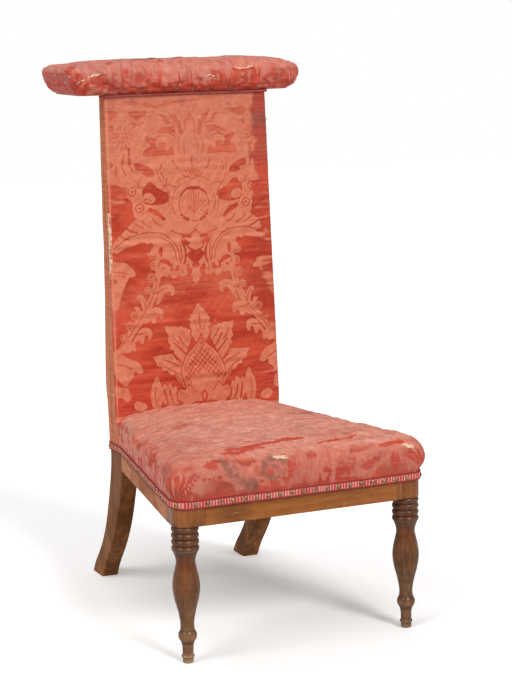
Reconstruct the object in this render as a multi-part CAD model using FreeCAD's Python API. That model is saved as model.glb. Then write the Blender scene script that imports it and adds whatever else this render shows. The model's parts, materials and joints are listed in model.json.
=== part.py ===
import FreeCAD, Part
import math
import os

from FreeCAD import Placement, Rotation, Vector

# Upholstered prie-dieu chair, in millimetres.
# X runs across the chair, Y from the front to the back and Z up from the floor.
# Every piece is drawn with y = 0 on the front face of the seat frame. Before it is written it
# moves back to the middle of the footprint, so that the origin is under the centre of the chair.

# Seat frame
front_width = 464.0  # across the front corners of the frame, before they are rounded
rear_width = 327.0  # across the rear legs
seat_depth = 434.0  # front face of the front rail to the front of the rear legs
rail_bottom = 235.0  # underside of the rails above the floor
rail_height = 62.0
rail_thickness = 24.0
block_side = 55.0  # square head of each front leg
tenon_thickness = 9.0
tenon_length = 26.0
tenon_shoulder = 7.0  # wood left above and below a tenon

# Turned front leg, from the floor up
peg_radius = 9.1  # bare spigot that once carried a castor cup
peg_height = 9.0
toe_radius = 11.2
toe_height = 5.0
shaft_radius = 9.2
shaft_height = 24.0
knob_radius = 15.7
knob_height = 18.0
knob_neck_radius = 12.3
vase_radius = 23.0
ring_radius = 23.2  # also the radius of the rounded corner of the square head
ring_height = 11.0
ring_groove = 2.4
ring_count = 4
flare_shares = (0.17, 0.67)  # of the way out and up the shaft, where its flare begins

# Sabre rear leg, which runs on upwards as the stile of the back
rear_leg_width = 32.0  # across the chair
rear_leg_depth = 56.5  # front to back at the seat rails
rear_foot_sweep = 129.0  # how far the foot's front edge lies behind the leg at the rails
rear_foot_depth = 51.0
sabre_rise = 27.0  # how far the rear curve runs up behind the rails
shoulder_drop = 33.0  # height of the hollow where the leg narrows into the stile
leg_chamfer = 1.6

# Back frame
back_foot = 318.0  # height at which the leaning part of the back begins
back_top = 920.0  # underside of the arm rest board
back_setback = 21.0  # front face of the stiles at that lower height, behind the front of the legs
back_lean = 2.67  # degrees
back_taper = 14.0  # narrower across the stiles under the arm rest than across the rear legs
stile_top_depth = 18.5
back_rail_thickness = 18.0
back_rail_height = 54.0
back_bottom_rail_rise = 22.0  # underside of the lower back rail above the foot of the back
back_tenon_length = 20.0

# Arm rest
rest_overhang = 50.0  # board beyond the back on each side
rest_depth = 135.0
rest_thickness = 18.0
rest_front_overhang = 8.0  # board in front of the stiles
rest_corner_radius = 14.0
rest_pad_height = 55.0  # underside of the board to the crown of the pad
rest_bulge = 18.0  # pad beyond the board, all round
rest_turn_under = 20.0  # cover turned under the board
through_tenon_width = 15.0
through_tenon_depth = 11.0
wedge_thickness = 3.0
wedge_tip_share = 0.17  # of the tenon's height, left whole below the wedge

# Corner blocks and screws
front_brace_leg = 80.0
rear_brace_leg = 45.0
brace_height = 38.0
screw_radius = 2.0
screw_head_radius = 4.0
screw_head_height = 2.6
screw_bite = 14.0  # how far a screw reaches into the rail
screw_way = 12.0  # clear way past its head
brace_screw_share = 0.75  # of a block's leg, from the corner to the screw
rear_screw_length_share = 0.75  # of the length of a front screw
rest_screw_share = 0.67  # of half the width between the stiles

# Webbing and hessian
web_width_share = 0.38  # of half the width between the rear legs
web_thickness = 1.2
web_ease = 2.0  # flat run past each crossing before the strip changes level
web_margin = 6.0  # bare wood outside the end of a strip
web_front_shares = (-0.66, -0.22, 0.22, 0.66)  # of half the width between the front legs
web_rear_shares = (-0.62, -0.205, 0.205, 0.62)  # of half the width between the rear legs
web_cross_shares = (0.2, 0.42, 0.64, 0.86)  # of the seat depth
back_web_shares = (-0.56, 0.0, 0.56)  # of half the back's width
back_web_rise_shares = (0.2, 0.345, 0.49, 0.635, 0.78)  # of the back's height
hessian_thickness = 0.8
hessian_margin = 5.0

# Seat upholstery
cover_thickness = 1.8  # silk and its lining
skirt_drop = 29.0  # lower edge of the cover below the top of the rails
skirt_height = 15.0
stuffing_height = 68.0  # above the skirt
seat_corner_share = 0.25  # growth of the corner radius with the inset
cushion_rear_gap = 7.7  # rear of the cushion in front of the stiles at their foot
seat_height_shares = (0, 0.071, 0.171, 0.3, 0.443, 0.571, 0.686, 0.779, 0.843, 0.893, 0.936,
                      0.969, 0.99, 1)
seat_side_shares = (0, -0.0032, -0.0075, -0.0097, -0.0086, -0.0043, 0.0043, 0.0172, 0.0323, 0.0539,
                    0.0862, 0.1336, 0.2047, 0.2802)  # drawn in, of the front width
seat_rear_side_shares = (0, 0, 0, 0.0031, 0.0061, 0.0183, 0.055, 0.1284, 0.2294, 0.3058, 0.3517,
                         0.3823, 0.4067, 0.4281)  # drawn in at the rear, of the rear width
seat_rear_shares = (0, 0, 0, 0, 0, 0, 0, 0, 0.0138, 0.0461, 0.1267, 0.2304, 0.3687,
                    0.4608)  # drawn in from the back, of the seat depth

# Braid and nails
gimp_height = 15.0
gimp_thickness = 2.2
gimp_drop = 31.0  # lower edge below the top of the rails
nail_radius = 4.0
nail_rise = 2.2
nail_crown = 2.4  # radius of the hammered flat on the crown
nail_spacing = 21.5

# Back upholstery
back_pad_edge = 4.2  # front edge of the stuffing in front of the stiles
back_crown = 9.0
back_corner_radius = 3.0
rear_fullness = 11.0
back_height_shares = (0, 0.14, 0.3, 0.54, 0.77, 0.92, 1)
back_crown_shares = (0.1, 0.8, 1, 1, 0.8, 0.5, 0.2)
rear_height_shares = (0, 0.063, 0.123, 0.186, 0.249, 0.374, 0.528, 0.679, 0.83, 1)
rear_fullness_shares = (0.02, 0.4, 1, 0.95, 0.75, 0.3, 0.12, 0.25, 0.3, 0.3)

# Arm rest upholstery
rest_height_shares = (0, 0.073, 0.18, 0.327, 0.49, 0.636, 0.764, 0.855, 0.918, 0.964, 0.99, 1)
rest_spread_shares = (0, 0.3, 0.62, 0.9, 1, 0.97, 0.84, 0.6, 0.2, -0.5, -1.4, -2.4)
rest_corner_share = 0.2
piping_radius = 2.2
piping_corner_radius = 5.0

# Turned outline of the vase, bottom to top, as shares of its height and of its largest radius
vase_height_shares = (0.06, 0.13, 0.25, 0.4, 0.55, 0.68, 0.78, 0.87, 0.94)
vase_radius_shares = (0.5, 0.525, 0.66, 0.885, 1, 0.93, 0.8, 0.7, 0.77)

# Sabre curves of the rear leg, as shares of the rise and of the sweep
front_curve_height_shares = (1, 0.826, 0.557, 0.26, 0)
front_curve_sweep_shares = (0, 0.074, 0.279, 0.636, 1)
rear_curve_height_shares = (0, 0.187, 0.454, 0.775, 1)
rear_curve_sweep_shares = (1, 0.68, 0.312, 0.077, 0)

overrun = 5.0
flatness = 0.000001  # how far a fourth point may lie from the plane of three
seam_clearance = 0.4  # between the covers that meet under the arm rest

# Steps in which small mouldings and corners are turned
bead_steps = 4
vase_steps = 10
corner_steps = 4
crown_steps = 6
leg_sides = 28
small_sides = 8

# Worked out from the sizes above
rail_top = rail_bottom + rail_height
front_half = front_width / 2
rear_half = rear_width / 2
side_slope = (front_half - rear_half) / seat_depth
side_angle = math.atan(side_slope)
rear_face = seat_depth + rear_leg_depth
back_front = seat_depth + back_setback
back_top_width = rear_width - back_taper
rest_length = back_top_width + 2 * rest_overhang
stile_inner = rear_half - rear_leg_width
web_width = stile_inner * web_width_share
lean_slope = math.tan(math.radians(back_lean))
cushion_rear = back_front - cushion_rear_gap
skirt_bottom = rail_top - skirt_drop
skirt_top = skirt_bottom + skirt_height
web_top = rail_top + 2 * web_thickness
hessian_top = web_top + hessian_thickness
gimp_bottom = rail_top - gimp_drop
gimp_face = cover_thickness + gimp_thickness
rest_bottom = back_top
rest_top = rest_bottom + rest_thickness
across = Vector(1, 0, 0)
upright = Vector(0, 0, 1)


def side_x(y):
    """Half width of the seat frame at a distance behind its front face."""
    return front_half - y * side_slope


def front_line(z):
    """Front face of the stiles at a height."""
    return back_front + (z - back_foot) * lean_slope


def rear_line(z):
    """Rear face of the stiles at a height above the foot of the back."""
    top = front_line(back_top) + stile_top_depth
    return rear_face + (top - rear_face) * max(0, z - back_foot) / (back_top - back_foot)


def stile_half(z):
    """Half width across the stiles at a height above the foot of the back."""
    narrowing = rear_half - back_top_width / 2
    return rear_half - narrowing * max(0, z - back_foot) / (back_top - back_foot)


def line(start, end):
    return Part.LineSegment(start, end).toShape()


def arc(start, middle, end):
    return Part.Arc(start, middle, end).toShape()


def spline(points, first=None, last=None):
    """Smooth curve through points, with the directions at its two ends where they matter."""
    curve = Part.BSplineCurve()
    if first is None:
        curve.interpolate(points)
    else:
        curve.interpolate(Points=points, InitialTangent=first, FinalTangent=last)
    return curve.toShape()


def bend(start, middle, end, steps):
    """Points along an arc."""
    return arc(start, middle, end).discretize(Number=steps + 1)


def ring(points):
    return Part.makePolygon(points + points[:1])


def prism(points, direction):
    """Solid of a closed polygon pushed along a direction."""
    return Part.Face(ring(points)).extrude(direction)


def lofted(sections):
    """Solid with flat faces through outlines that have the same number of points."""
    faces = [Part.Face(ring(sections[0])), Part.Face(ring(sections[-1]))]
    for low, high in zip(sections, sections[1:]):
        for number, corner in enumerate(low):
            last, above, last_above = low[number - 1], high[number], high[number - 1]
            if abs((last_above - last).dot((corner - last).cross(above - last).normalize())) < flatness:
                faces.append(Part.Face(ring([last, corner, above, last_above])))
            else:
                faces.append(Part.Face(ring([last, corner, above])))
                faces.append(Part.Face(ring([last, above, last_above])))
    solid = Part.Solid(Part.Shell(faces))
    if solid.Volume < 0:
        solid.reverse()
    return solid


def turned(rows, sides):
    """Upright turned piece with flat sides, from its radii and heights."""
    turns = [2 * math.pi * (side + 0.5) / sides for side in range(sides)]
    return lofted([[Vector(radius * math.cos(turn), radius * math.sin(turn), height) for turn in turns]
                   for radius, height in rows])


def stepped_pin(rows, base, direction):
    """Small turned piece that stands on its base and points in a direction."""
    turn = Rotation(upright, direction)
    return turned(rows, small_sides).transformed(Placement(base, turn).toMatrix())


def slab(x0, x1, y0, y1, z0, z1):
    return Part.makeBox(x1 - x0, y1 - y0, z1 - z0, Vector(x0, y0, z0))


def mirrored(shape):
    return shape.mirror(Vector(0, 0, 0), across)


def fused(shapes):
    return shapes[0].multiFuse(shapes[1:]).removeSplitter()


def on_floor_plan(points, z):
    return [Vector(x, y, z) for x, y in points]


# Seat rails and their tenons


def front_tenon():
    """Bar that holds both tenons of the front rail."""
    reach = front_half - block_side + tenon_length
    middle = rail_thickness / 2
    return slab(-reach, reach, middle - tenon_thickness / 2, middle + tenon_thickness / 2,
                rail_bottom + tenon_shoulder, rail_top - tenon_shoulder)


def front_rail():
    shoulder = front_half - block_side
    body = slab(-shoulder, shoulder, 0, rail_thickness, rail_bottom, rail_top)
    return fused([body, front_tenon()])


def side_bar(y0, y1, inset, thickness, z0, z1):
    """Bar along the right side of the frame, its ends square to the chair."""
    outer = inset / math.cos(side_angle)
    inner = (inset + thickness) / math.cos(side_angle)
    corners = [(side_x(y0) - outer, y0), (side_x(y1) - outer, y1),
               (side_x(y1) - inner, y1), (side_x(y0) - inner, y0)]
    return prism(on_floor_plan(corners, z0), upright * (z1 - z0))


def side_tenon():
    return side_bar(block_side - tenon_length, seat_depth + tenon_length,
                    (rail_thickness - tenon_thickness) / 2, tenon_thickness,
                    rail_bottom + tenon_shoulder, rail_top - tenon_shoulder)


def side_rail():
    body = side_bar(block_side, seat_depth, 0, rail_thickness, rail_bottom, rail_top)
    return fused([body, side_tenon()])


def rear_tenon():
    reach = stile_inner + back_tenon_length
    middle = rear_face - rail_thickness / 2
    return slab(-reach, reach, middle - tenon_thickness / 2, middle + tenon_thickness / 2,
                rail_bottom + tenon_shoulder, rail_top - tenon_shoulder)


def rear_rail():
    body = slab(-stile_inner, stile_inner, rear_face - rail_thickness, rear_face, rail_bottom, rail_top)
    return fused([body, rear_tenon()])


# Turned front leg


def corner_centre(radius):
    """Centre of the rounded front corner, which is also the axis of the turned leg."""
    inset = radius * (1 + math.sin(side_angle)) / math.cos(side_angle)
    return Vector(front_half - inset, radius, 0)


def bead(radius, inner, low, high):
    """Rows of a half round moulding between two heights."""
    points = bend(Vector(inner, 0, low), Vector(radius, 0, (low + high) / 2), Vector(inner, 0, high),
                  bead_steps)
    return [(point.x, point.z) for point in points]


def leg_rows():
    """Radii and heights of the turned leg, from the floor up to its square head."""
    toe = peg_height + toe_height
    knob = toe + shaft_height
    vase = knob + knob_height
    rings = rail_bottom - ring_count * ring_height
    groove = ring_radius - ring_groove
    flare = (shaft_radius + (knob_neck_radius - shaft_radius) * flare_shares[0],
             toe + shaft_height * flare_shares[1])
    rows = [(peg_radius, 0), (peg_radius, peg_height), (toe_radius, (peg_height + toe) / 2),
            (shaft_radius, toe), flare]
    rows += bead(knob_radius, knob_neck_radius, knob, vase)
    curve = [Vector(knob_neck_radius, 0, vase)]
    for height, radius in zip(vase_height_shares, vase_radius_shares):
        curve.append(Vector(vase_radius * radius, 0, vase + (rings - vase) * height))
    curve.append(Vector(groove, 0, rings))
    rows += [(point.x, point.z) for point in spline(curve).discretize(Number=vase_steps + 1)[1:]]
    for number in range(ring_count):
        low = rings + number * ring_height
        rows += bead(ring_radius, groove, low, low + ring_height)[1:]
    return rows


def leg_head():
    """Square head of the right front leg, its outer corner rounded over the turning."""
    centre = corner_centre(ring_radius)
    outward = Vector(math.cos(side_angle), math.sin(side_angle), 0)
    middle = centre + (outward - Vector(0, 1, 0)).normalize() * ring_radius
    side = centre + outward * ring_radius
    outline = [Vector(front_half - block_side, 0, 0)]
    outline += bend(Vector(centre.x, 0, 0), middle, side, corner_steps)
    outline += [Vector(side_x(block_side), block_side, 0),
                Vector(front_half - block_side, block_side, 0)]
    return prism(outline, upright * rail_height).translated(upright * rail_bottom)


def front_leg():
    turning = turned(leg_rows(), leg_sides).translated(corner_centre(ring_radius))
    leg = turning.fuse(leg_head())
    return leg.cut(front_tenon()).cut(side_tenon())


# Sabre rear leg with its stile


def sabre_curve(heights, sweeps, base, rise, sweep):
    points = [Vector(0, base + sweep * s, rise * h) for h, s in zip(heights, sweeps)]
    away = Vector(0, sweep, -rise)
    if heights[0] == 0:
        return spline(points, away * -1, upright)
    return spline(points, upright * -1, away)


def rear_leg_side():
    """Side outline of the rear leg and stile."""
    hollow_low = Vector(0, seat_depth, back_foot - shoulder_drop)
    hollow_high = Vector(0, back_front, back_foot)
    rise = rail_bottom + sabre_rise
    rear_sweep = rear_foot_sweep + rear_foot_depth - rear_leg_depth
    front_curve = sabre_curve(front_curve_height_shares, front_curve_sweep_shares,
                              seat_depth, rail_bottom, rear_foot_sweep)
    rear_curve = sabre_curve(rear_curve_height_shares, rear_curve_sweep_shares,
                             rear_face, rise, rear_sweep)
    hollow = Part.BezierCurve()
    hollow.setPoles([hollow_high, hollow_high - upright * shoulder_drop / 2,
                     hollow_low + upright * shoulder_drop / 2, hollow_low])
    heel = Vector(0, rear_face + rear_sweep, 0)
    toe = Vector(0, seat_depth + rear_foot_sweep, 0)
    edges = [front_curve, line(toe, heel), rear_curve,
             line(Vector(0, rear_face, rise), Vector(0, rear_face, back_foot)),
             line(Vector(0, rear_face, back_foot), Vector(0, rear_line(back_top), back_top)),
             line(Vector(0, rear_line(back_top), back_top), Vector(0, front_line(back_top), back_top)),
             line(Vector(0, front_line(back_top), back_top), hollow_high),
             hollow.toShape(),
             line(hollow_low, Vector(0, seat_depth, rail_bottom))]
    return Part.Face(Part.Wire(Part.__sortEdges__(edges)))


def through_tenon():
    """Tenon on top of the right stile, which passes through the arm rest board."""
    x0 = stile_inner + (back_top_width / 2 - stile_inner - through_tenon_width) / 2
    y0 = front_line(back_top) + (stile_top_depth - through_tenon_depth) / 2
    return slab(x0, x0 + through_tenon_width, y0, y0 + through_tenon_depth, back_top, rest_top)


def tenon_wedge():
    """Wedge driven into the saw cut of the tenon, level with its top."""
    box = through_tenon().BoundBox
    middle = (box.XMin + box.XMax) / 2
    tip = box.ZMin + (box.ZMax - box.ZMin) * wedge_tip_share
    points = [Vector(middle - wedge_thickness / 2, box.YMin, box.ZMax),
              Vector(middle + wedge_thickness / 2, box.YMin, box.ZMax),
              Vector(middle, box.YMin, tip)]
    return prism(points, Vector(0, through_tenon_depth, 0))


def rear_leg():
    side = rear_leg_side().extrude(across * rear_leg_width).translated(across * stile_inner)
    curved = [edge for edge in side.Edges if edge.BoundBox.ZMax < rail_bottom + sabre_rise + overrun
              and edge.BoundBox.ZLength > rail_bottom - overrun]
    side = side.makeChamfer(leg_chamfer, curved)
    outline = [(stile_inner, 0), (rear_half, 0), (rear_half, back_foot),
               (back_top_width / 2, back_top), (stile_inner, back_top)]
    reach = rear_face + rear_foot_sweep + rear_foot_depth
    front = prism([Vector(x, 0, z) for x, z in outline], Vector(0, reach, 0))
    leg = side.common(front).fuse(through_tenon()).cut(tenon_wedge())
    for tenon in (side_tenon(), rear_tenon(), back_bottom_tenon(), back_top_tenon()):
        leg = leg.cut(tenon)
    return largest(leg)


# Rails of the back


def back_bar(z0, z1, reach, inset, thickness):
    """Bar across the back that follows its lean, between two heights."""
    points = [Vector(-reach, front_line(z0) + inset, z0),
              Vector(-reach, front_line(z0) + inset + thickness, z0),
              Vector(-reach, front_line(z1) + inset + thickness, z1),
              Vector(-reach, front_line(z1) + inset, z1)]
    return prism(points, across * 2 * reach)


def back_tenon(z0, z1):
    inset = (back_rail_thickness - tenon_thickness) / 2
    return back_bar(z0 + tenon_shoulder, z1 - tenon_shoulder, stile_inner + back_tenon_length,
                    inset, tenon_thickness)


def back_bottom_tenon():
    low = back_foot + back_bottom_rail_rise
    return back_tenon(low, low + back_rail_height)


def back_top_tenon():
    return back_tenon(back_top - back_rail_height, back_top)


def back_bottom_rail():
    low = back_foot + back_bottom_rail_rise
    body = back_bar(low, low + back_rail_height, stile_inner, 0, back_rail_thickness)
    return fused([body, back_bottom_tenon()])


def back_top_rail():
    body = back_bar(back_top - back_rail_height, back_top, stile_inner, 0, back_rail_thickness)
    return fused([body, back_top_tenon()])


# Corner blocks and screws


def screw(tip, direction, length):
    """Countersunk wood screw from its tip to its head."""
    neck = length - screw_head_height
    rows = [(screw_radius, 0), (screw_radius, neck), (screw_head_radius, length)]
    return stepped_pin(rows, tip, direction)


def screw_hole(tip, direction, length):
    """Room for a screw, with a clear way out for its head."""
    neck = length - screw_head_height
    rows = [(screw_radius, 0), (screw_radius, neck), (screw_head_radius, length),
            (screw_head_radius, length + screw_way)]
    return stepped_pin(rows, tip, direction)


def inner_corner():
    """Where the inner faces of the front rail and the right side rail would meet."""
    return Vector(side_x(rail_thickness) - rail_thickness / math.cos(side_angle), rail_thickness, 0)


def brace_screws():
    """Tips, directions and lengths of the right corner blocks' screws, the rear block's last."""
    rise = upright * (rail_bottom + brace_height / 2)
    along = Vector(-math.sin(side_angle), math.cos(side_angle), 0)
    inward = Vector(-math.cos(side_angle), -math.sin(side_angle), 0)
    reach = front_brace_leg * brace_screw_share
    length = screw_bite + front_brace_leg - reach
    front = inner_corner() - across * reach + rise
    side = inner_corner() + along * reach + rise
    rear = Vector(stile_inner - rear_brace_leg / 2, rear_face - rail_thickness, 0) + rise
    return [(front - Vector(0, screw_bite, 0), Vector(0, 1, 0), length),
            (side - inward * screw_bite, inward, length),
            (rear + Vector(0, screw_bite, 0), Vector(0, -1, 0), length * rear_screw_length_share)]


def rest_screws():
    """Screws down through the arm rest board into the top rail of the back."""
    y = front_line(back_top) + back_rail_thickness / 2
    length = rest_thickness + 2 * screw_bite
    spread = stile_inner * rest_screw_share
    return [(Vector(x, y, rest_top - length), upright, length) for x in (-spread, 0, spread)]


def opened(piece, screws):
    for place in screws:
        piece = piece.cut(screw_hole(*place))
    return piece


def front_brace():
    along = Vector(-math.sin(side_angle), math.cos(side_angle), 0)
    base = inner_corner() + upright * rail_bottom
    points = [base, base - across * front_brace_leg, base + along * front_brace_leg]
    block = prism(points, upright * brace_height).cut(leg_head())
    return opened(block, brace_screws()[:2])


def rear_brace():
    base = Vector(stile_inner, rear_face - rail_thickness, rail_bottom)
    points = [base, base - across * rear_brace_leg, base - Vector(0, rear_leg_depth - rail_thickness, 0)]
    return opened(prism(points, upright * brace_height), brace_screws()[2:])


# Webbing, woven over and under


def web_strip(length, crossings, high_first):
    """Strip along X from 0 to its length, which passes over and under at its crossings."""
    flat = web_width / 2 + web_ease
    low_edge = [(0, 0)]
    high = high_first
    for place in crossings:
        level = web_thickness if high else 0
        low_edge += [(place - flat, level), (place + flat, level)]
        high = not high
    low_edge.append((length, 0))
    high_edge = [(x, z + web_thickness) for x, z in reversed(low_edge)]
    points = [Vector(x, -web_width / 2, z) for x, z in low_edge + high_edge]
    return prism(points, Vector(0, web_width, 0))


def seat_webbing():
    strips = []
    start = web_margin
    end = rear_face - web_margin
    for number, (front, rear) in enumerate(zip(web_front_shares, web_rear_shares)):
        run = Vector(rear * stile_inner - front * (front_half - block_side), end - start, 0)
        stretch = run.Length / (end - start)
        crossings = [(share * seat_depth - start) * stretch for share in web_cross_shares]
        strip = web_strip(run.Length, crossings, number % 2 == 0)
        turn = Rotation(across, run)
        strips.append(strip.transformed(Placement(
            Vector(front * (front_half - block_side), start, rail_top), turn).toMatrix()))
    for number, share in enumerate(web_cross_shares):
        y = share * seat_depth
        half = side_x(y + web_width / 2) - web_margin
        crossings = []
        for front, rear in zip(web_front_shares, web_rear_shares):
            x0 = front * (front_half - block_side)
            x1 = rear * stile_inner
            crossings.append(half + x0 + (x1 - x0) * (y - start) / (end - start))
        strip = web_strip(2 * half, crossings, number % 2 == 1)
        strips.append(strip.translated(Vector(-half, y, rail_top)))
    return Part.makeCompound(strips)


def on_back(shape):
    """Moves a flat shape, drawn with Y up and Z forward, to the front of the leaning back."""
    turn = Rotation(across, 90 - back_lean)
    return shape.transformed(Placement(Vector(0, back_front, back_foot), turn).toMatrix())


def back_webbing():
    run = (back_top - back_foot) / math.cos(math.radians(back_lean))
    low = back_bottom_rail_rise + web_margin
    high = run - web_margin
    places = [share * stile_inner for share in back_web_shares]
    heights = [share * run for share in back_web_rise_shares]
    strips = []
    for number, x in enumerate(places):
        strip = web_strip(high - low, [z - low for z in heights], number % 2 == 0)
        turned = strip.transformed(Placement(Vector(x, low, 0), Rotation(upright, 90)).toMatrix())
        strips.append(on_back(turned))
    for number, z in enumerate(heights):
        half = back_top_width / 2 - web_margin
        strip = web_strip(2 * half, [half + x for x in places], number % 2 == 1)
        strips.append(on_back(strip.translated(Vector(-half, z, 0))))
    return Part.makeCompound(strips)


def back_hessian():
    run = (back_top - back_foot) / math.cos(math.radians(back_lean))
    low = back_bottom_rail_rise
    half_low = stile_half(back_foot + low) - hessian_margin
    half_high = back_top_width / 2 - hessian_margin
    corners = [(-half_low, low), (half_low, low), (half_high, run - hessian_margin),
               (-half_high, run - hessian_margin)]
    sheet = prism(on_floor_plan(corners, 2 * web_thickness), upright * hessian_thickness)
    return on_back(sheet)


# Seat upholstery


def seat_section(z, side_in, rear_side_in, rear_in, grow):
    """Plan outline of the seat at one height, drawn in at its sides and rear and grown all round."""
    out = grow / math.cos(side_angle)
    half = front_half - side_in + out
    rear = side_x(cushion_rear) - rear_side_in + out
    angle = math.atan((half - rear) / cushion_rear)
    front = side_in - grow
    radius = ring_radius + grow + abs(side_in) * seat_corner_share
    outward = Vector(math.cos(angle), math.sin(angle), 0)
    x = half - (radius + (front + radius) * outward.y) / outward.x
    centre = Vector(x, front + radius, z)
    side = centre + outward * radius
    middle = centre + (outward - Vector(0, 1, 0)).normalize() * radius
    nose = Vector(x, front, z)
    back_y = cushion_rear - rear_in
    heel = Vector(half - back_y * math.tan(angle), back_y, z)
    right = [heel] + bend(side, middle, nose, corner_steps)
    return right + [Vector(-p.x, p.y, p.z) for p in reversed(right)]


def seat_form(grow):
    """Crowned body of the seat above the skirt, with a notch over each rear leg."""
    rows = zip(seat_height_shares, seat_side_shares, seat_rear_side_shares, seat_rear_shares)
    sections = []
    for height, side, rear_side, rear in rows:
        z = skirt_top + height * (stuffing_height + grow)
        sections.append(seat_section(z, side * front_width, rear_side * rear_width,
                                     rear * seat_depth, grow))
    body = lofted(sections)
    notch = slab(stile_inner, front_half, seat_depth, rear_face, rail_bottom, back_foot)
    return body.cut(notch).cut(mirrored(notch))


def seat_hessian():
    ease = cushion_rear - seat_depth
    outline = seat_section(web_top, hessian_margin, hessian_margin, ease, 0)
    return prism(outline, upright * hessian_thickness)


def seat_stuffing():
    below = slab(-front_width, front_width, -front_width, rear_face, 0, hessian_top)
    return largest(seat_form(0).cut(below))


def skirt():
    """Straight lower part of the seat cover, flat on the rails."""
    outer = prism(seat_section(skirt_bottom, 0, 0, 0, cover_thickness), upright * skirt_height)
    inner = prism(seat_section(skirt_bottom, 0, 0, 0, 0), upright * skirt_height)
    behind = slab(-front_width, front_width, seat_depth, rear_face, 0, back_top)
    return outer.cut(inner).cut(behind)


def largest(shape):
    return max(shape.Solids, key=lambda solid: solid.Volume)


def seat_cover():
    shell = seat_form(cover_thickness).cut(seat_form(0))
    return largest(largest(shell).fuse(skirt()))


# Braid and nails


def frame_outline(grow, z):
    """Plan outline of the seat frame with its rear legs, grown all round."""
    centre = corner_centre(ring_radius)
    outward = Vector(math.cos(side_angle), math.sin(side_angle), 0)
    radius = ring_radius + grow
    nose = Vector(centre.x, centre.y - radius, z)
    middle = centre + (outward - Vector(0, 1, 0)).normalize() * radius + upright * z
    side = centre + outward * radius + upright * z
    meet = (front_half + grow / math.cos(side_angle) - rear_half - grow) / side_slope
    knee = Vector(rear_half + grow, meet, z)
    corner = Vector(rear_half + grow, rear_face + grow, z)
    return [nose, middle, side, knee, corner]


def gimp_band(grow):
    """Solid within the gimp's height, out to the frame's outline grown all round."""
    nose, middle, side, knee, corner = frame_outline(grow, gimp_bottom)
    right = bend(nose, middle, side, corner_steps) + [knee, corner]
    return prism(right + [Vector(-p.x, p.y, p.z) for p in reversed(right)], upright * gimp_height)


def seat_gimp():
    return largest(gimp_band(gimp_face).cut(gimp_band(cover_thickness)))


def nail_head(place, outward):
    """Domed head with its flat side on the braid."""
    return stepped_pin([(nail_radius, 0), (nail_crown, nail_rise)], place, outward)


def nails_along(start, end, outward):
    run = end - start
    count = max(1, round(run.Length / nail_spacing))
    return [nail_head(start + run * ((i + 0.5) / count), outward) for i in range(count)]


def gimp_nails():
    z = gimp_bottom + gimp_height / 2
    nose, middle, side, knee, corner = frame_outline(gimp_face, z)
    outward = Vector(math.cos(side_angle), math.sin(side_angle), 0)
    diagonal = (outward - Vector(0, 1, 0)).normalize()
    right = [nail_head(middle, diagonal)]
    right += nails_along(side, knee, outward)
    right += nails_along(knee, corner, across)
    front = nails_along(Vector(-nose.x, nose.y, z), nose, Vector(0, -1, 0))
    rear = nails_along(Vector(-corner.x, corner.y, z), corner, Vector(0, 1, 0))
    return Part.makeCompound(right + [mirrored(nail) for nail in right] + front + rear)


# Back upholstery


def back_levels(shares):
    return [back_foot + share * (back_top - back_foot) for share in shares]


def pad_front(z):
    """Front edge of the back's stuffing at a height."""
    return front_line(z) - back_pad_edge


def side_middle(z):
    """Line on the side of a stile where the front and rear covers meet."""
    return (front_line(z) + rear_line(z)) / 2


def swollen(half, face, crown, z):
    """Points from left to right along a front that swells forward by its crown."""
    return bend(Vector(-half, face, z), Vector(0, face - crown, z), Vector(half, face, z), crown_steps)


def back_form(rear):
    """Solid from a rear line, given by height, to the swollen front of the back's stuffing."""
    sections = []
    for z, crown in zip(back_levels(back_height_shares), back_crown_shares):
        half = stile_half(z)
        sections.append([Vector(half, rear(z), z), Vector(-half, rear(z), z)]
                        + swollen(half, pad_front(z), crown * back_crown, z))
    return lofted(sections)


def back_stuffing():
    layers = (2 * web_thickness + hessian_thickness) / math.cos(math.radians(back_lean))
    return back_form(lambda z: front_line(z) - layers)


def cover_outline(z, crown):
    """Outside of the cover round the front of the back and half of each side."""
    outer = stile_half(z) + cover_thickness
    face = pad_front(z) - cover_thickness
    radius = back_corner_radius
    slant = radius * (1 - math.cos(math.radians(45)))
    right = [Vector(outer - slant, face + slant, z), Vector(outer, face + radius, z),
             Vector(outer, side_middle(z), z)]
    left = [Vector(-p.x, p.y, p.z) for p in reversed(right)]
    return left + swollen(outer - radius, face, crown, z) + right


def leg_flap():
    """Part of the front cover that runs down the side of the right rear leg."""
    return slab(rear_half, rear_half + cover_thickness, seat_depth, side_middle(back_foot),
                skirt_bottom, back_foot)


def back_front_cover():
    levels = zip(back_levels(back_height_shares), back_crown_shares)
    outside = lofted([cover_outline(z, crown * back_crown) for z, crown in levels])
    wrap = outside.cut(back_form(side_middle))
    return fused([wrap, leg_flap(), mirrored(leg_flap())])


def rear_swell(z, share):
    return rear_line(z) + share * rear_fullness


def rear_padding():
    """Wadding between the back frame and the rear cover."""
    sections = []
    for z, share in zip(back_levels(rear_height_shares), rear_fullness_shares):
        half = stile_half(z)
        sections.append([
            Vector(-half, rear_line(z), z), Vector(half, rear_line(z), z),
            Vector(half, rear_swell(z, share), z), Vector(-half, rear_swell(z, share), z)])
    return lofted(sections)


def rear_cover_section(z, share):
    half = stile_half(z)
    outer = half + cover_thickness
    start = side_middle(z)
    inner = rear_swell(z, share)
    face = inner + cover_thickness
    return [Vector(-outer, start, z), Vector(-half, start, z), Vector(-half, inner, z),
            Vector(half, inner, z), Vector(half, start, z), Vector(outer, start, z),
            Vector(outer, face, z), Vector(-outer, face, z)]


def back_rear_cover():
    upper = lofted([rear_cover_section(z, share)
                    for z, share in zip(back_levels(rear_height_shares), rear_fullness_shares)])
    foot = prism(rear_cover_section(back_foot, 0), upright * (skirt_bottom - back_foot))
    return fused([upper, foot])


# Arm rest


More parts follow.
